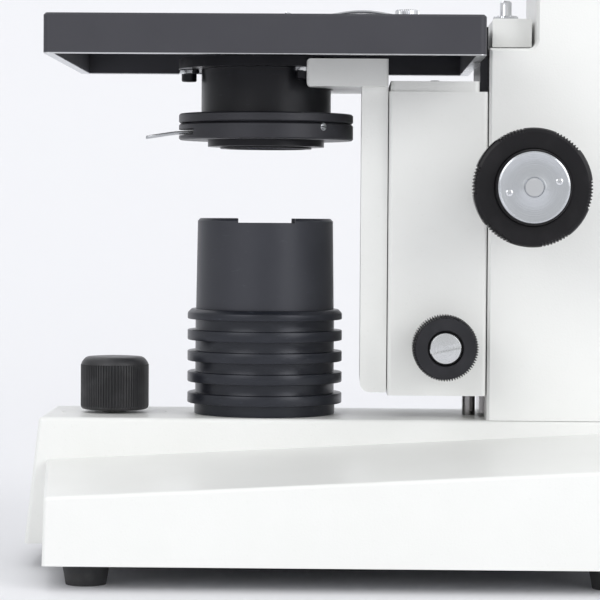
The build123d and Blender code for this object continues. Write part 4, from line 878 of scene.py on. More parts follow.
class Side(Enum):
    """The two sides of the instrument, as signs of Y."""

    RIGHT = -1
    LEFT = 1

    @property
    def outward(self) -> Vector:
        """Direction away from the middle of the instrument."""
        return Vector((0, self.value, 0))

    @property
    def word(self) -> str:
        """The side's name, for the names of its pieces."""
        return self.name.lower()


def knurled(
    name: str, outline: Outline, ribs: int, depth: float, reach: tuple[float, float], from_radius: float,
    zones: Optional[Callable[[float], bool]] = None, closed: bool = False,
) -> bpy.types.Object:
    """A turned piece with a ribbed side.

    Args:
        name: the piece's name.
        outline: corners as (radius, height), in millimetres.
        ribs: how many ribs go round.
        depth: depth of a groove, in millimetres.
        reach: lowest and highest point of the ribs, in millimetres.
        from_radius: only corners further out than this are pressed in, in millimetres.
        zones: says of an angle whether it has ribs; none means all round.
        closed: the outline is a ring's.

    Returns:
        The piece, about Z.
    """
    piece = Bench.turn(name, outline, ribs * 4, closed)
    Bench.flute(piece, ribs, depth, reach, from_radius, zones)
    return piece


@dataclass
class CrossHead:
    """Small pan-head screw with a cross recess."""

    radius: float
    height: float
    recess: float = 0.55
    blade: float = 0.22
    deep: float = 0.45

    def build(self, name: str) -> bpy.types.Object:
        """Turn the head and cut the cross.

        Args:
            name: the screw's name.

        Returns:
            The screw, standing on z = 0 about Z.
        """
        crown = self.radius * 0.62
        head = Bench.turn(name, [
            (self.radius, 0), (self.radius, self.height * 0.45), (self.radius * 0.9, self.height * 0.8),
            (crown, self.height), (crown * 0.4, self.height),
        ], 32)
        span = self.radius * self.recess
        thin = self.radius * self.blade / 2
        low = self.height - self.radius * self.deep
        arms = [
            Bench.box("arm", (-span, -thin, low), (span, thin, self.height + 1)),
            Bench.box("arm", (-thin, -span, low), (thin, span, self.height + 1)),
        ]
        Bench.cut(head, *arms)
        return head


@dataclass
class Base:
    """Casting, feet and the pieces on the back of the base."""

    def dress(self) -> None:
        """Dress the base's nodes."""
        for node in ("base_casting", "brightness_dial"):
            dress(node, Stock.IVORY)
        dress("rubber_feet", Stock.RUBBER)
        dress("bottom_plate", Stock.STEEL)
        dress("fixing_screws", Stock.CHROME)
        for node in ("power_inlet", "switch_housing"):
            dress(node, Stock.KNOB)
        dress("switch_rocker", Stock.GLOSS)
        dress("transformer", Stock.LAMINATED)
        dress("dimmer_board", Stock.BOARD)


@dataclass
class BrightnessKnob:
    """Ribbed knob of the lamp's brightness."""

    ribs: int = 76
    rib_depth: float = 0.42
    lift: float = 0.9
    shaft: float = 3.0

    def build(self) -> None:
        """Turn the knob, flute its side and stand it over the dial."""
        low, high = (Vector(c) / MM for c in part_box("brightness_knob"))
        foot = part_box("brightness_dial")[1][2] / MM + self.lift
        tall = high.z - foot
        wide = (high.x - low.x) / 2
        knob = knurled("brightness_knob_ribbed", [
            (self.shaft, 0), (wide - 1.1, 0), (wide - 0.45, 0.25), (wide - 0.1, 0.7), (wide, 1.3),
            (wide, tall - 2.5), (wide - 0.1, tall - 2.35), (wide - 0.35, tall - 1.7),
            (wide - 0.9, tall - 0.9), (wide - 1.5, tall - 0.35), (wide - 2.1, tall - 0.1),
            (wide - 2.6, tall - 0.16), (wide - 2.9, tall - 0.05), (wide - 3.4, tall), (self.shaft, tall),
        ], self.ribs, self.rib_depth, (1.2, tall - 2.45), wide - 0.2)
        centre = middle("brightness_knob")
        Bench.put(knob, Vector((centre.x, centre.y, foot * MM)), UP)
        Bench.finish(knob, Stock.KNOB, "brightness", ["brightness_knob"], "black_plastic", 24)


@dataclass
class Illuminator:
    """Finned lamp house with its lift-off sleeve, socket and bulb."""

    fins: int = 5
    fin_radius: float = 23.55
    fin_thickness: float = 3.1
    fin_pitch: float = 6.35
    groove_radius: float = 21.15
    foot_radius: float = 21.4
    foot_height: float = 3.4
    bore: float = 17.75
    floor: float = 3.0
    wire_hole: float = 5.5
    edge: float = 0.28

    def outline(self) -> list[tuple[float, float]]:
        """Draw the lamp house's section, from the wire hole round to it again.

        Returns:
            Corners as (radius, height), in millimetres.
        """
        corners = [(self.wire_hole, 0.0), (self.foot_radius, 0.0), (self.foot_radius, self.foot_height)]
        for k in range(self.fins):
            low = self.foot_height + k * self.fin_pitch
            top = low + self.fin_thickness
            last = k == self.fins - 1
            corners += [(self.fin_radius, low), (self.fin_radius, top - (1.2 if last else 0.0))]
            if last:
                corners.append((self.fin_radius - 1.2, top))
            else:
                corners += [(self.groove_radius, top), (self.groove_radius, low + self.fin_pitch)]
        height = corners[-1][1]
        return corners + [(self.bore, height), (self.bore, self.floor), (self.wire_hole, self.floor)]

    def build(self) -> None:
        """Turn the lamp house, soften its fins and dress what stands in it."""
        house = Bench.turn("lamp_house_finned", self.outline(), 128, closed=True)
        Bench.round_edges(house, self.edge, 2)
        centre = middle("illuminator_housing")
        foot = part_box("illuminator_housing")[0][2]
        Bench.put(house, Vector((centre.x, centre.y, foot)), UP)
        Bench.finish(house, Stock.HOUSE, "root", ["illuminator_housing"], "black_anodise")
        dress("filter_sleeve", Stock.SLEEVE)
        dress("sleeve_glass", Stock.GLASS)
        dress("lamp_socket", Stock.CERAMIC)
        dress("halogen_bulb", Stock.GLASS)


@dataclass
class Column:
    """Column and arm with their cover and bushes."""

    def dress(self) -> None:
        """Dress the column's nodes."""
        for node in ("limb_casting", "rear_cover", "nosepiece_seat"):
            dress(node, Stock.IVORY)
        dress("focus_bushes", Stock.BRONZE)
        dress("guide_rod", Stock.DARK_CHROME)


@dataclass
class FocusDrive:
    """Coarse and fine focus knobs on both sides."""

    ribs: int = 108
    rib_depth: float = 0.42
    zones: int = 6
    zone_half: float = 14.0
    zone_start: float = -7.0
    radius: float = 16.95
    rim: float = 9.0
    hub: float = 11.0
    shaft_gap: float = 4.1
    insert_radius: float = 10.2
    insert_depth: float = 1.2
    screw_circle: float = 7.2
    screw_turn: float = 13.0
    screw_sink: float = 0.35
    cross_turn: float = 30.0
    cross_step: float = 25.0
    screw: CrossHead = field(default_factory=lambda: CrossHead(1.05, 0.55))
    shaft: float = 2.5

    def in_zone(self, angle: float) -> bool:
        """Whether the coarse rim is ribbed at an angle.

        Args:
            angle: the angle round the rim, in radians.

        Returns:
            True inside a ribbed patch.
        """
        step = 360 / self.zones
        away = (math.degrees(angle) - self.zone_start + step / 2) % step - step / 2
        return abs(away) < self.zone_half

    def coarse(self, side: Side) -> None:
        """Turn one coarse knob with its ribbed patches.

        Args:
            side: the side that it stands on.
        """
        face = abs(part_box("coarse_knobs")[0][1]) / MM
        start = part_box("focus_bushes")[1][1] / MM + 0.3
        long = face - start
        wide = self.radius
        back = long - self.rim
        knob = knurled(f"{side.word}_coarse_knob", [
            (self.shaft_gap, 0), (self.hub - 0.6, 0), (self.hub, 0.6), (self.hub, back),
            (wide - 1.5, back), (wide - 0.5, back + 0.35), (wide, back + 1.1),
            (wide, long - 1.2), (wide - 0.4, long - 0.45), (wide - 1.2, long), (self.hub + 0.15, long),
            (self.hub - 0.05, long - 0.35), (self.shaft_gap, long - 0.35),
        ], self.ribs, self.rib_depth, (back + 0.3, long - 0.4), wide - 0.6, self.in_zone)
        centre, _ = pivot("coarse_focus")
        place = Vector((centre.x, side.value * start * MM, centre.z))
        Bench.put(knob, place, side.outward)
        Bench.finish(knob, Stock.FOCUS_KNOB, "coarse_drive", ["coarse_knobs"], "black_plastic", 24)

    def insert(self, side: Side) -> None:
        """Turn one bright insert, its shaft's end and its two screws.

        Args:
            side: the side that it stands on.
        """
        centre, axis = pivot("fine_focus")
        back = side.value * (abs(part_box("fine_knob_inserts")[0][1]) - self.insert_depth * MM)
        place = Vector((centre.x, back, centre.z))
        wide = self.insert_radius
        deep = self.insert_depth
        disc = Bench.turn(f"{side.word}_fine_insert", [
            (self.shaft + 0.05, 0), (wide, 0), (wide, deep - 0.30), (wide - 0.5, deep),
            (wide - 0.75, deep - 0.06), (3.3, deep - 0.06), (3.1, deep), (2.85, deep),
            (2.7, deep - 0.3), (self.shaft + 0.05, deep - 0.3),
        ], 128, closed=True)
        Bench.put(disc, place, side.outward)
        turned = Turned(
            "turned_insert", (0.70, 0.72, 0.75), (0.42, 0.435, 0.46), tuple(centre), tuple(axis),
            0.24, 0.020, 0.22,
        )
        Bench.finish(disc, turned, "fine_drive", ["fine_knob_inserts"], "turned_aluminium", 20)
        tip = Bench.turn(f"{side.word}_shaft_end", [
            (self.shaft + 0.02, 0.3), (self.shaft + 0.02, deep + 0.1), (self.shaft - 0.35, deep + 0.42),
            (1.9, deep + 0.42), (1.25, deep - 0.35), (0.15, deep - 0.75),
        ], 64)
        Bench.put(tip, place, side.outward)
        Bench.finish(tip, Stock.CHROME, "fine_drive", slot="bright_steel", angle=20)
        turn = math.radians(self.screw_turn)
        reach = self.screw_circle * MM
        for number, sign in enumerate((1, -1)):
            screw = self.screw.build(f"{side.word}_insert_screw_{number}")
            spot = place + Vector((sign * reach * math.cos(turn), 0, sign * reach * math.sin(turn)))
            spot += side.outward * (deep - self.screw_sink) * MM
            Bench.put(screw, spot, side.outward, self.cross_turn + self.cross_step * number)
            Bench.finish(screw, Stock.CHROME, "fine_drive", slot="bright_steel", angle=30)

    def build(self) -> None:
        """Build both sides and dress the shafts."""
        for side in Side:
            self.coarse(side)
            self.insert(side)
        dress("fine_knobs", Stock.FOCUS_KNOB)
        dress("coarse_shaft", Stock.STEEL)
        dress("fine_shaft", Stock.CHROME)


@dataclass
class Clip:
    """Spring clip with its headed post."""

    side: Side
    width: float = 7.0
    tip_width: float = 4.2
    spring: float = 0.55
    foot: float = 0.45
    rise: float = 2.0
    arch_end: float = 0.86
    tip_rise: float = 1.7
    tip_start: float = 0.84
    steps: int = 22
    button: float = 3.5
    post_radius: float = 1.95
    post_depth: float = 4.0

    def profile(self, share: float) -> float:
        """Height of the spring above the stage, from its post to its tip.

        Args:
            share: 0 at the post's end, 1 at the tip.

        Returns:
            The height in millimetres.
        """
        arch = self.rise * math.sin(math.pi * min(1.0, share / self.arch_end)) ** 2
        tip = self.tip_rise * max(0.0, (share - self.tip_start) / (1 - self.tip_start)) ** 1.6
        return self.foot + arch + tip

    def build(self) -> None:
        """Extrude the strip along its curve, thicken it and turn the screw over it."""
        node = f"{self.side.word}_clip"
        body = f"clip_{self.side.word}"
        low, high = (Vector(c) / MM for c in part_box(node))
        post, _ = pivot(f"{node}_swing")
        start, end = high.x - 0.2, low.x + 0.2
        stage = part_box("stage_plate")[1][2] / MM
        across = post.y / MM
        Bench.release()
        seat = stage + self.profile(0)
        bpy.ops.mesh.primitive_plane_add(size=1, location=(start * MM, across * MM, seat * MM))
        strip = bpy.context.object
        strip.name = strip.data.name = f"{node}_spring"
        strip.scale = (0.02 * MM, self.width * MM, 1)
        bpy.ops.object.transform_apply(location=True, rotation=True, scale=True)
        bpy.ops.object.mode_set(mode="EDIT")
        least = min(v.co.x for v in strip.data.vertices)
        Bench.pick("EDGE", lambda e: all(strip.data.vertices[v].co.x < least + 1e-6 for v in e.vertices))
        x, z, wide = start, self.profile(0), self.width
        for step in range(1, self.steps + 1):
            share = step / self.steps
            nx = start + (end - start) * share
            nz = self.profile(share)
            nwide = self.width + (self.tip_width - self.width) * share ** 1.3
            bpy.ops.mesh.extrude_edges_move(
                TRANSFORM_OT_translate={"value": ((nx - x) * MM, 0, (nz - z) * MM)},
            )
            bpy.ops.transform.resize(value=(1, nwide / wide, 1), center_override=(nx * MM, across * MM, 0))
            x, z, wide = nx, nz, nwide
        bpy.ops.mesh.select_all(action="SELECT")
        bpy.ops.mesh.normals_make_consistent(inside=False)
        bpy.ops.object.mode_set(mode="OBJECT")
        thick = strip.modifiers.new("gauge", "SOLIDIFY")
        thick.thickness = self.spring * MM
        thick.offset = 1.0
        bpy.ops.object.modifier_apply(modifier=thick.name)
        Bench.round_edges(strip, 0.18, 2, 50)
        Bench.finish(strip, Stock.SPRING, body, [node], "bright_steel", 40)
        head = knurled(f"{node}_screw", [
            (2.0, 0), (self.button - 0.4, 0), (self.button, 0.35), (self.button, 1.9),
            (self.button - 0.5, 2.35), (1.6, 2.5), (1.2, 2.2), (0.3, 2.2),
        ], 36, 0.22, (0.3, 1.95), self.button - 0.2)
        seat += self.spring
        Bench.put(head, Vector((post.x, post.y, seat * MM)), UP)
        Bench.finish(head, Stock.CHROME, body, slot="bright_steel", angle=30)
        shank = Bench.turn(f"{node}_post", [
            (self.post_radius, -self.post_depth), (self.post_radius, seat - stage + 0.1),
        ], 32)
        Bench.put(shank, Vector((post.x, post.y, stage * MM)), UP)
        Bench.finish(shank, Stock.STEEL, body, slot="steel")


@dataclass
class StageCarriage:
    """Block, slide, stage and clips."""

    stop_radius: float = 3.8
    stop_stem: float = 1.8
    stop_stem_height: float = 4.6
    stop_head: float = 1.7

    def stop_screw(self) -> None:
        """Turn the knurled stop screw."""
        low, high = (Vector(c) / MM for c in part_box("stop_screw"))
        tall = high.z - low.z
        neck = tall - self.stop_stem_height - self.stop_head
        wide = self.stop_radius
        screw = knurled("stop_screw_knurled", [
            (self.stop_stem, 0), (self.stop_stem, neck), (wide - 0.35, neck), (wide, neck + 0.35),
            (wide, neck + self.stop_head - 0.35), (wide - 0.35, neck + self.stop_head),
            (self.stop_stem + 0.1, neck + self.stop_head), (self.stop_stem, neck + self.stop_head + 0.3),
            (self.stop_stem, tall - 0.5), (self.stop_stem - 0.5, tall),
        ], 44, 0.2, (neck + 0.3, neck + self.stop_head - 0.3), wide - 0.2)
        centre = middle("stop_screw")
        Bench.put(screw, Vector((centre.x, centre.y, low.z * MM)), UP)
        Bench.finish(screw, Stock.CHROME, "stop_adjuster", ["stop_screw"], "bright_steel", 28)

    def build(self) -> None:
        """Dress the carriage's nodes and build its screws and clips."""
        for node in ("carrier_block", "block_cap", "stop_block"):
            dress(node, Stock.IVORY)
        # the stage's black has a painted highlight along its lower edge: a narrow band of bright metal
        # colour
        dress("stage_plate", RimmedBlack(
            "stage_rimmed_black", (0.038, 0.038, 0.046), (0.060, 0.060, 0.070), (0.62, 0.63, 0.65),
            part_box("stage_plate")[0][2], 0.22,
        ))
        dress("stage_hanger", Stock.SATIN)
        dress("focus_slide", Stock.DARK_CHROME)
        dress("carriage_bushes", Stock.BRONZE)
        self.stop_screw()
        for side in Side:
            Clip(side).build()


@dataclass
class CondenserDrive:
    """Knob, shaft and rail of the condenser's rack."""

    ribs: int = 76
    rib_depth: float = 0.6
    radius: float = 9.5
    length: float = 14.0
    hub: float = 6.5
    recess: float = 5.2
    recess_depth: float = 4.0
    shaft_gap: float = 2.6
    slot: float = 1.3
    slot_depth: float = 1.1
    slot_turn: float = 12.0

    def screw(self, centre: Vector) -> None:
        """Slotted screw in the knob's recess.

        Args:
            centre: a point on the knob's axis, in metres.
        """
        low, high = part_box("condenser_knob_screw")
        tall = (high[1] - low[1]) / MM
        wide = (high[0] - low[0]) / 2 / MM
        head = Bench.turn("condenser_screw_slotted", [(wide, 0), (wide, tall - 0.3), (wide - 0.3, tall)], 96)
        half = self.slot / 2
        low_corner = (-2 * wide, -half, tall - self.slot_depth)
        Bench.cut(head, Bench.box("slot", low_corner, (2 * wide, half, tall + 1)))
        Bench.round_edges(head, 0.16, 2, 40)
        Bench.put(head, Vector((centre.x, high[1], centre.z)), Side.RIGHT.outward, self.slot_turn)
        metal = Turned(
            "turned_screw", (0.74, 0.75, 0.76), (0.50, 0.51, 0.52), tuple(centre), (0.0, 1.0, 0.0),
            0.5, 0.008, 0.26,
        )
        Bench.finish(head, metal, "condenser_drive", ["condenser_knob_screw"], "bright_steel", 25)

    def build(self) -> None:
        """Turn the knob and dress the rest."""
        low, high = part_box("condenser_knob")
        centre, _ = pivot("condenser_focus")
        long = (high[1] - low[1]) / MM
        back = long - self.length
        wide = self.radius
        knob = knurled("condenser_knob_knurled", [
            (self.shaft_gap, 0), (self.hub, 0), (self.hub, back), (wide - 0.8, back), (wide, back + 0.7),
            (wide, long - 0.75), (wide - 0.25, long - 0.3), (wide - 0.8, long), (self.recess + 0.25, long),
            (self.recess, long - 0.25), (self.recess, long - self.recess_depth),
            (self.shaft_gap, long - self.recess_depth),
        ], self.ribs, self.rib_depth, (back + 0.6, long - 0.25), wide - 0.5)
        Bench.put(knob, Vector((centre.x, high[1], centre.z)), Side.RIGHT.outward)
        Bench.finish(knob, Stock.CONDENSER_KNOB, "condenser_drive", ["condenser_knob"], "black_plastic", 24)
        self.screw(centre)
        for node in ("condenser_shaft", "condenser_rail"):
            dress(node, Stock.STEEL)
        dress("condenser_carrier", Stock.GREY)


@dataclass
class Condenser:
    """Condenser with its holder, iris and lenses."""

    screw_circle: float = 23.5
    washer_radius: float = 3.1
    washer: float = 1.4
    screw_radius: float = 2.3
    screw_head: float = 2.3
    shank: float = 1.2
    shank_height: float = 2.0
    ring_radius: float = 22.0
    ring_bore: float = 15.5
    ring_thickness: float = 1.2
    leaves: int = 8
    leaf_bore: float = 8.5
    leaf_gauge: float = 0.12
    leaf_step: float = 0.18
    lever_reach: float = 36.6
    lever_width: float = 3.2
    lever_straight: float = 4.0
    lever_drop: float = 9.0
    lever_taper: tuple[float, ...] = (1.0, 1.0, 1.0, 1.0, 0.97, 0.86, 0.55)
    split_screw_x: float = 17.7

    def holder_screws(self, centre: Vector, seat: float) -> None:
        """Three bright washers with black cap screws under the holder.

        Args:
            centre: a point on the condenser's axis, in metres.
            seat: height of the holder's underside, in metres.
        """
        washer = Bench.turn("holder_washer_0", [
            (self.shank, 0), (self.washer_radius - 0.2, 0), (self.washer_radius, 0.2),
            (self.washer_radius, self.washer - 0.2), (self.washer_radius - 0.2, self.washer),
            (self.shank, self.washer),
        ], 40, closed=True)
        screw = Bench.turn("holder_cap_screw_0", [
            (0.4, 0.9), (1.15, 0.9), (1.15, 0), (self.screw_radius - 0.3, 0), (self.screw_radius, 0.3),
            (self.screw_radius, self.screw_head), (self.shank, self.screw_head),
            (self.shank, self.screw_head + self.washer + self.shank_height),
        ], 40)
        washers = [washer] + [Bench.copy(washer, f"holder_washer_{k}") for k in (1, 2)]
        heads = [screw] + [Bench.copy(screw, f"holder_cap_screw_{k}") for k in (1, 2)]
        for ring, head, degrees in zip(washers, heads, (60, 180, 300)):
            turn = math.radians(degrees)
            spot = Vector((math.cos(turn), math.sin(turn), 0)) * self.screw_circle * MM
            Bench.put(ring, Vector((centre.x, centre.y, seat - self.washer * MM)) + spot, UP)
            Bench.finish(ring, Stock.CHROME, "condenser", ["holder_screws"], "bright_steel", 30)
            low = seat - (self.washer + self.screw_head) * MM
            Bench.put(head, Vector((centre.x, centre.y, low)) + spot, UP)
            Bench.finish(head, Stock.SATIN, "condenser", slot="black_anodise", angle=30)

    def iris(self, centre: Vector) -> None:
        """Turning ring with its drooping lever and the leaves.

        Args:
            centre: a point on the condenser's axis, in metres.
        """
        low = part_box("iris_ring")[0][2]
        ring = Bench.turn("iris_turning_ring", [
            (self.ring_bore, 0), (self.ring_radius, 0), (self.ring_radius, self.ring_thickness),
            (self.ring_bore, self.ring_thickness),
        ], 96, closed=True)
        Bench.put(ring, Vector((centre.x, centre.y, low)), UP)
        Bench.finish(ring, Stock.STEEL, "iris", ["iris_ring"], "steel")
        half = self.lever_width / 2
        top = self.ring_thickness
        root = self.ring_radius + self.lever_straight
        lever = Bench.box("iris_lever", (-root, -half, 0.1), (-self.ring_bore - 2, half, top - 0.1))
        Bench.activate(lever)
        bpy.ops.object.mode_set(mode="EDIT")
        reach = self.lever_reach - root
        Bench.pick("FACE", lambda f: f.normal.x < -0.9)
        x, steps = -root, len(self.lever_taper)
        for step, taper in enumerate(self.lever_taper, 1):
            fall = math.sin(math.radians(self.lever_drop) * min(1.0, step / 2.5)) * reach / steps
            bpy.ops.mesh.extrude_region_move(
                TRANSFORM_OT_translate={"value": (-reach / steps * MM, 0, -fall * MM)},
            )
            x -= reach / steps
            bpy.ops.transform.resize(value=(1, taper, 1), center_override=(x * MM, 0, 0))
        bpy.ops.object.mode_set(mode="OBJECT")
        Bench.round_edges(lever, 0.22, 2, 40)
        Bench.put(lever, Vector((centre.x, centre.y, low)), UP)
        Bench.finish(lever, Stock.STEEL, "iris", slot="steel", angle=40)
        edge = self.ring_radius - 0.6
        for k in range(self.leaves):
            leaf = Bench.turn(f"iris_leaf_{k}", [
                (self.leaf_bore, 0), (edge, 0), (edge, self.leaf_gauge), (self.leaf_bore, self.leaf_gauge),
            ], 48, closed=True)
            Bench.activate(leaf)
            bpy.ops.object.mode_set(mode="EDIT")
            bpy.ops.mesh.select_all(action="SELECT")
            bpy.ops.mesh.bisect(
                plane_co=(-0.002, 0, 0), plane_no=(1, 0, 0), clear_inner=True, use_fill=True,
            )
            bpy.ops.object.mode_set(mode="OBJECT")
            rise = self.ring_thickness + 0.3 + k * self.leaf_step
            place = Vector((centre.x, centre.y, low + rise * MM))
            Bench.put(leaf, place, UP, 360 * k / self.leaves)
            Bench.finish(leaf, Stock.DARK_STEEL, "iris", slot="steel")

    def split_screw(self, centre: Vector) -> None:
        """Small slotted screw in the rim of the iris housing.

        Args:
            centre: a point on the condenser's axis, in metres.
        """
        low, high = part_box("iris_housing")
        wide = (high[0] - low[0]) / 2
        x = self.split_screw_x * MM
        y = -math.sqrt(wide ** 2 - x ** 2)
        out = Vector((x, y, 0)).normalized()
        screw = Bench.turn("iris_split_screw", [(1.15, -0.4), (1.15, 0.02), (0.95, 0.12), (0.2, 0.12)], 32)
        Bench.cut(screw, Bench.box("slot", (-1.5, -0.16, -0.15), (1.5, 0.16, 0.5)))
        middle_z = low[2] + (high[2] - low[2]) * 0.46
        Bench.put(screw, Vector((centre.x + x, centre.y + y, middle_z)), out, 35)
        Bench.finish(screw, Stock.STEEL, "condenser", slot="steel", angle=30)

    def build(self) -> None:
        """Build the screws and the iris, and dress the condenser's nodes."""
        centre = middle("iris_housing")
        self.holder_screws(centre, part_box("condenser_holder")[0][2])
        self.iris(centre)
        self.split_screw(centre)
        for node in ("condenser_holder", "condenser_body"):
            dress(node, Stock.SATIN)
        dress("iris_housing", Stock.IRIS)
        dress("condenser_lenses", Stock.GLASS)


@dataclass
class Objective:
    """One objective with its knurled grip, coloured band and front lens."""

    number: int
    length: float
    tip: float
    band: Stock
    radius: float = 12.0
    neck: float = 10.1
    neck_length: float = 4.5
    grip: tuple[float, float] = (1.4, 6.6)

    def build(self, shoulder: Vector, axis: Vector) -> None:
        """Turn the objective and hang it from its shoulder.

        Args:
            shoulder: where its flange meets the turret, in metres.
            axis: the direction that it points in.
        """
        wide, long = self.radius, self.length
        low, high = self.grip
        waist = long * 0.62
        band = waist - 5.0
        barrel = knurled(f"objective_{self.number}", [
            (self.neck, -self.neck_length), (self.neck, 0), (wide - 0.3, 0), (wide, 0.3), (wide, low),
            (wide, high), (wide - 0.5, high + 0.3), (wide - 0.5, band), (wide - 0.75, band + 0.1),
            (wide - 0.75, band + 2.4), (wide - 0.5, band + 2.5), (wide - 0.5, waist - 0.4),
            (wide - 1.0, waist), (self.tip + 3.0, long - 5.2), (self.tip + 2.3, long - 4.6),
            (self.tip + 2.3, long - 2.6), (self.tip + 1.0, long - 0.3), (self.tip + 0.7, long),
            (self.tip * 0.75, long), (self.tip * 0.7, long - 0.5),
        ], 60, 0.3, (low, high), wide - 0.2)
        Bench.put(barrel, shoulder, axis)
        Bench.finish(barrel, Stock.CHROME, "nosepiece", ["objectives"], "bright_steel", 24)
        ring = Bench.turn(f"objective_band_{self.number}", [
            (wide - 0.9, band + 0.15), (wide - 0.6, band + 0.15), (wide - 0.52, band + 0.5),
            (wide - 0.52, band + 2.0), (wide - 0.6, band + 2.35), (wide - 0.9, band + 2.35),
        ], 96, closed=True)
        Bench.put(ring, shoulder, axis)
        Bench.finish(ring, self.band, "nosepiece", slot="black_plastic")
        lens = Bench.turn(f"objective_lens_{self.number}", [
            (self.tip * 0.68, long - 1.2), (self.tip * 0.68, long - 0.5), (self.tip * 0.4, long - 0.3),
            (self.tip * 0.1, long - 0.25),
        ], 48)
        Bench.put(lens, shoulder, axis)
        Bench.finish(lens, Stock.GLASS, "nosepiece", slot="glass")


@dataclass
class Nosepiece:
    """Turning nosepiece with its four objectives."""

    circle: float = 19.5
    radius: float = 34.0
    grip_ribs: int = 120
    rim: tuple[float, float] = (2.2, 6.8)
    thickness_to_shoulder: float = 12.0
    objectives: list[Objective] = field(default_factory=lambda: [
        Objective(0, 28.0, 8.0, Stock.RED),
        Objective(1, 38.0, 5.5, Stock.YELLOW),
        Objective(2, 44.4, 4.0, Stock.BLUE),
        Objective(3, 44.8, 3.2, Stock.WHITE),
    ])

    def build(self) -> None:
        """Dress the turret, band its rim and hang the objectives."""
        apex, axis = pivot("nosepiece_turn")
        tilt = math.acos(-axis.z)
        reach = self.circle / math.sin(tilt)
        first = Vector((0, 0, -1))
        for number, objective in enumerate(self.objectives):
            turn = Matrix.Rotation(2 * math.pi * number / len(self.objectives), 3, axis)
            out = turn @ first
            objective.build(apex + out * reach * MM, out)
        top = reach * math.cos(tilt) - self.thickness_to_shoulder
        low, high = self.rim
        ring = knurled("turret_grip", [
            (self.radius - 0.3, low), (self.radius + 0.25, low), (self.radius + 0.5, low + 0.3),
            (self.radius + 0.5, high - 0.3), (self.radius + 0.25, high), (self.radius - 0.3, high),
        ], self.grip_ribs, 0.4, (low + 0.2, high - 0.2), self.radius + 0.4, closed=True)
        Bench.put(ring, apex + axis * top * MM, axis)
        Bench.finish(ring, Stock.CHROME, "nosepiece", slot="bright_steel", angle=24)
        dress("turret", Stock.SATIN)


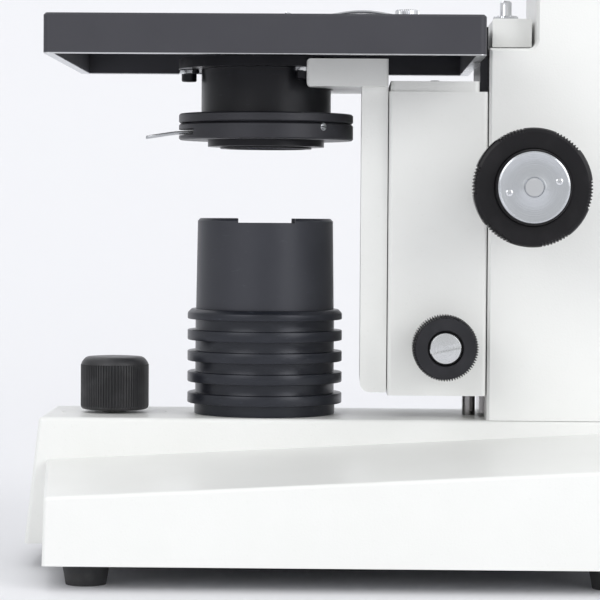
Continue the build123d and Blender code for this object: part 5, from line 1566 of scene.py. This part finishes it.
@dataclass
class Head:
    """Binocular head with its tubes, eyepieces and controls."""

    ring_bore: float = 15.1
    ring_radius: float = 17.5
    ring_length: float = 10.0
    wheel_radius: float = 5.0
    wheel_height: float = 6.0
    lock_radius: float = 5.0
    lock_length: float = 12.0
    lock_stem: float = 1.9
    cup_radius: float = 17.0
    cup_length: float = 9.0
    cup_seat: float = 14.0
    lens_radius: float = 8.9

    def diopter(self, axis: Vector) -> None:
        """Knurled ring on the left tube.

        Args:
            axis: direction of the tubes.
        """
        wide, long = self.ring_radius, self.ring_length
        ring = knurled("diopter_ring_knurled", [
            (self.ring_bore, 0), (wide - 0.6, 0), (wide, 0.6), (wide, 1.6), (wide, long - 1.6),
            (wide, long - 0.6), (wide - 0.6, long), (self.ring_bore, long),
        ], 72, 0.4, (1.5, long - 1.5), wide - 0.2, closed=True)
        Bench.put(ring, middle("diopter_ring") - axis * long / 2 * MM, axis)
        Bench.finish(ring, Stock.SATIN, "diopter", ["diopter_ring"], "black_anodise", 24)

    def wheel(self, axis: Vector) -> None:
        """Knurled wheel of the eye spacing.

        Args:
            axis: direction of the tubes.
        """
        wide, tall = self.wheel_radius, self.wheel_height
        wheel = knurled("spacing_wheel_knurled", [
            (wide - 0.5, 0), (wide, 0.5), (wide, tall - 0.9), (wide - 0.6, tall - 0.1), (wide - 1.2, tall),
            (wide - 2.0, tall - 0.3), (0.4, tall - 0.3),
        ], 40, 0.3, (0.4, tall - 0.8), wide - 0.2)
        Bench.put(wheel, middle("spacing_wheel") - axis * tall / 2 * MM, axis)
        Bench.finish(wheel, Stock.KNOB, "spacing", ["spacing_wheel"], "black_plastic", 24)

    def lock(self) -> None:
        """Knurled lock screw under the head."""
        low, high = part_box("head_lock_screw")
        wide = self.lock_radius
        stem = (high[1] - low[1]) / MM - self.lock_length
        screw = knurled("head_lock_knurled", [
            (self.lock_stem, 0), (self.lock_stem, stem), (wide - 0.6, stem), (wide, stem + 0.6),
            (wide, stem + self.lock_length - 0.7), (wide - 0.6, stem + self.lock_length),
            (wide - 1.6, stem + self.lock_length), (wide - 2.0, stem + self.lock_length - 0.4),
            (0.4, stem + self.lock_length - 0.4),
        ], 48, 0.3, (stem + 0.5, stem + self.lock_length - 0.6), wide - 0.2)
        centre = middle("head_lock_screw")
        Bench.put(screw, Vector((centre.x, high[1], centre.z)), Side.RIGHT.outward)
        Bench.finish(screw, Stock.CHROME, "head_lock", ["head_lock_screw"], "bright_steel", 24)

    def eye(self, side: Side, axis: Vector) -> None:
        """Rolled rubber cup and coated lens of one eyepiece.

        Args:
            side: the side of the eyepiece.
            axis: direction of the tubes.
        """
        wide, long, seat = self.cup_radius, self.cup_length, self.cup_seat
        body = f"eyepiece_{side.word}"
        cup = Bench.turn(f"{side.word}_eyecup_rolled", [
            (seat, 0), (wide - 0.7, 0), (wide - 0.15, 0.35), (wide - 0.15, 1.4), (wide - 0.6, 1.8),
            (wide - 0.6, 2.3), (wide - 0.1, 2.7), (wide - 0.1, 3.8), (wide - 0.6, 4.2), (wide - 0.6, 4.7),
            (wide - 0.1, 5.1), (wide, 6.2), (wide - 0.1, 7.4), (wide - 0.5, 8.3), (wide - 1.2, long - 0.1),
            (wide - 2.2, long - 0.1), (wide - 3.6, long - 0.9), (wide - 5.2, 7.0), (10.1, 5.05), (seat, 5.0),
        ], 96, closed=True)
        centre = middle(f"{side.word}_eyecup")
        Bench.put(cup, centre - axis * long / 2 * MM, axis)
        Bench.finish(cup, Stock.RUBBER, body, [f"{side.word}_eyecup"], "rubber", 50)
        lens = Bench.turn(f"{side.word}_eye_lens", [
            (self.lens_radius, 0), (self.lens_radius, 0.25), (self.lens_radius * 0.75, 0.55),
            (self.lens_radius * 0.45, 0.75), (self.lens_radius * 0.12, 0.82),
        ], 64)
        Bench.put(lens, centre - axis * 0.75 * MM, axis)
        Bench.finish(lens, Stock.GLASS, body, slot="glass", angle=60)
        dress(f"{side.word}_eyepiece", Stock.KNOB)
        dress(f"{side.word}_tube", Stock.SATIN)

    def build(self) -> None:
        """Build the head's controls and dress its nodes."""
        _, axis = pivot("diopter_turn")
        self.diopter(axis)
        self.wheel(axis)
        self.lock()
        for side in Side:
            self.eye(side, axis)
        dress("head_housing", Stock.IVORY)
        dress("head_mount_ring", Stock.SATIN)


@dataclass
class Lamp:
    """A soft area light that looks at the instrument."""

    name: str
    place: tuple[float, float, float]
    size: float
    power: float

    def hang(self) -> None:
        """Add the light to the scene."""
        light = bpy.data.lights.new(self.name, "AREA")
        light.shape = "SQUARE"
        light.size = self.size
        light.energy = self.power
        lamp = bpy.data.objects.new(self.name, light)
        lamp.location = self.place
        aim = Vector((0, 0, 0.15)) - Vector(self.place)
        lamp.rotation_euler = aim.to_track_quat("-Z", "Y").to_euler()
        bpy.context.scene.collection.objects.link(lamp)


@dataclass
class Studio:
    """Floor, lights and camera."""

    eye_ahead: float = 0.0238
    distance: float = 0.793
    eye_height: float = 0.105
    lens: float = 156.0
    look_left: float = 0.947
    look_down: float = 1.872
    roll: float = 0.38
    floor_half: float = 3.0
    sweep_start: float = 0.55
    sweep_radius: float = 0.7
    sweep_steps: int = 16
    sweep_height: float = 2.6
    room: tuple[float, float, float] = (0.93, 0.94, 0.95)
    room_strength: float = 0.76
    lamps: list[Lamp] = field(default_factory=lambda: [
        Lamp("key", (-1.0, -1.4, 1.0), 1.2, 9.5),
        Lamp("fill", (1.3, -1.2, 0.8), 1.2, 13.0),
        Lamp("top", (0.0, 0.1, 1.8), 1.6, 7.0),
        Lamp("back", (-0.4, 1.0, 1.3), 1.2, 3.0),
    ])

    def floor(self) -> None:
        """Lay a pale floor and sweep it up behind the instrument."""
        Bench.release()
        half = self.floor_half
        bpy.ops.mesh.primitive_plane_add(size=2 * half, location=(0, self.sweep_start - half, 0))
        floor = bpy.context.object
        floor.name = floor.data.name = "studio_floor"
        bpy.ops.object.transform_apply(location=True, rotation=True, scale=True)
        bpy.ops.object.mode_set(mode="EDIT")
        back = self.sweep_start - 1e-4
        Bench.pick("EDGE", lambda e: all(floor.data.vertices[v].co.y > back for v in e.vertices))
        turn = math.pi / 2 / self.sweep_steps
        for step in range(self.sweep_steps):
            was, now = step * turn, (step + 1) * turn
            ahead = self.sweep_radius * (math.sin(now) - math.sin(was))
            rise = self.sweep_radius * (math.cos(was) - math.cos(now))
            bpy.ops.mesh.extrude_edges_move(TRANSFORM_OT_translate={"value": (0, ahead, rise)})
        bpy.ops.mesh.extrude_edges_move(TRANSFORM_OT_translate={"value": (0, 0, self.sweep_height)})
        bpy.ops.mesh.select_all(action="SELECT")
        bpy.ops.mesh.normals_make_consistent(inside=False)
        if Bench.pick("FACE", lambda f: f.normal.z < -0.5):
            bpy.ops.mesh.select_all(action="SELECT")
            bpy.ops.mesh.flip_normals()
        bpy.ops.object.mode_set(mode="OBJECT")
        bpy.ops.object.shade_smooth_by_angle(angle=math.radians(30))
        shader = Shader("studio_paper")
        cloud = shader.noise(400.0, 2.0)
        tone = shader.blend(cloud * 0.3, (0.778, 0.780, 0.803), (0.758, 0.760, 0.783))
        floor.data.materials.append(shader.surface(Base_Color=tone, Roughness=0.7))
        shader.clear_from_behind()

    def light(self) -> None:
        """Brighten the room and hang the lamps."""
        world = bpy.context.scene.world or bpy.data.worlds.new("room")
        bpy.context.scene.world = world
        world.use_nodes = True
        room = world.node_tree.nodes["Background"]
        room.inputs["Color"].default_value = (*self.room, 1)
        room.inputs["Strength"].default_value = self.room_strength
        for lamp in self.lamps:
            lamp.hang()

    def camera(self) -> None:
        """Stand the camera at the side, a little above the lamp house."""
        axis_x = middle("filter_sleeve").x
        eye = bpy.data.cameras.new("camera")
        eye.lens = self.lens
        eye.sensor_width = 36.0
        eye.clip_end = 20.0
        camera = bpy.data.objects.new("camera", eye)
        aim = Vector((-math.tan(math.radians(self.look_left)), 1, -math.tan(math.radians(self.look_down))))
        turn = aim.to_track_quat("-Z", "Y").to_matrix().to_4x4()
        place = Matrix.Translation((axis_x + self.eye_ahead, -self.distance, self.eye_height))
        camera.matrix_world = place @ turn @ Matrix.Rotation(math.radians(self.roll), 4, "Z")
        bpy.context.scene.collection.objects.link(camera)
        bpy.context.scene.camera = camera
        bpy.context.scene.view_settings.view_transform = "Standard"

    def build(self) -> None:
        """Set the studio up."""
        self.floor()
        self.light()
        self.camera()


def main() -> None:
    """Build and dress every sub-assembly."""
    logging.basicConfig(level=logging.INFO)
    Base().dress()
    BrightnessKnob().build()
    Illuminator().build()
    Column().dress()
    FocusDrive().build()
    StageCarriage().build()
    CondenserDrive().build()
    Condenser().build()
    Nosepiece().build()
    Head().build()
    Studio().build()


if __name__ == "__main__":
    main()
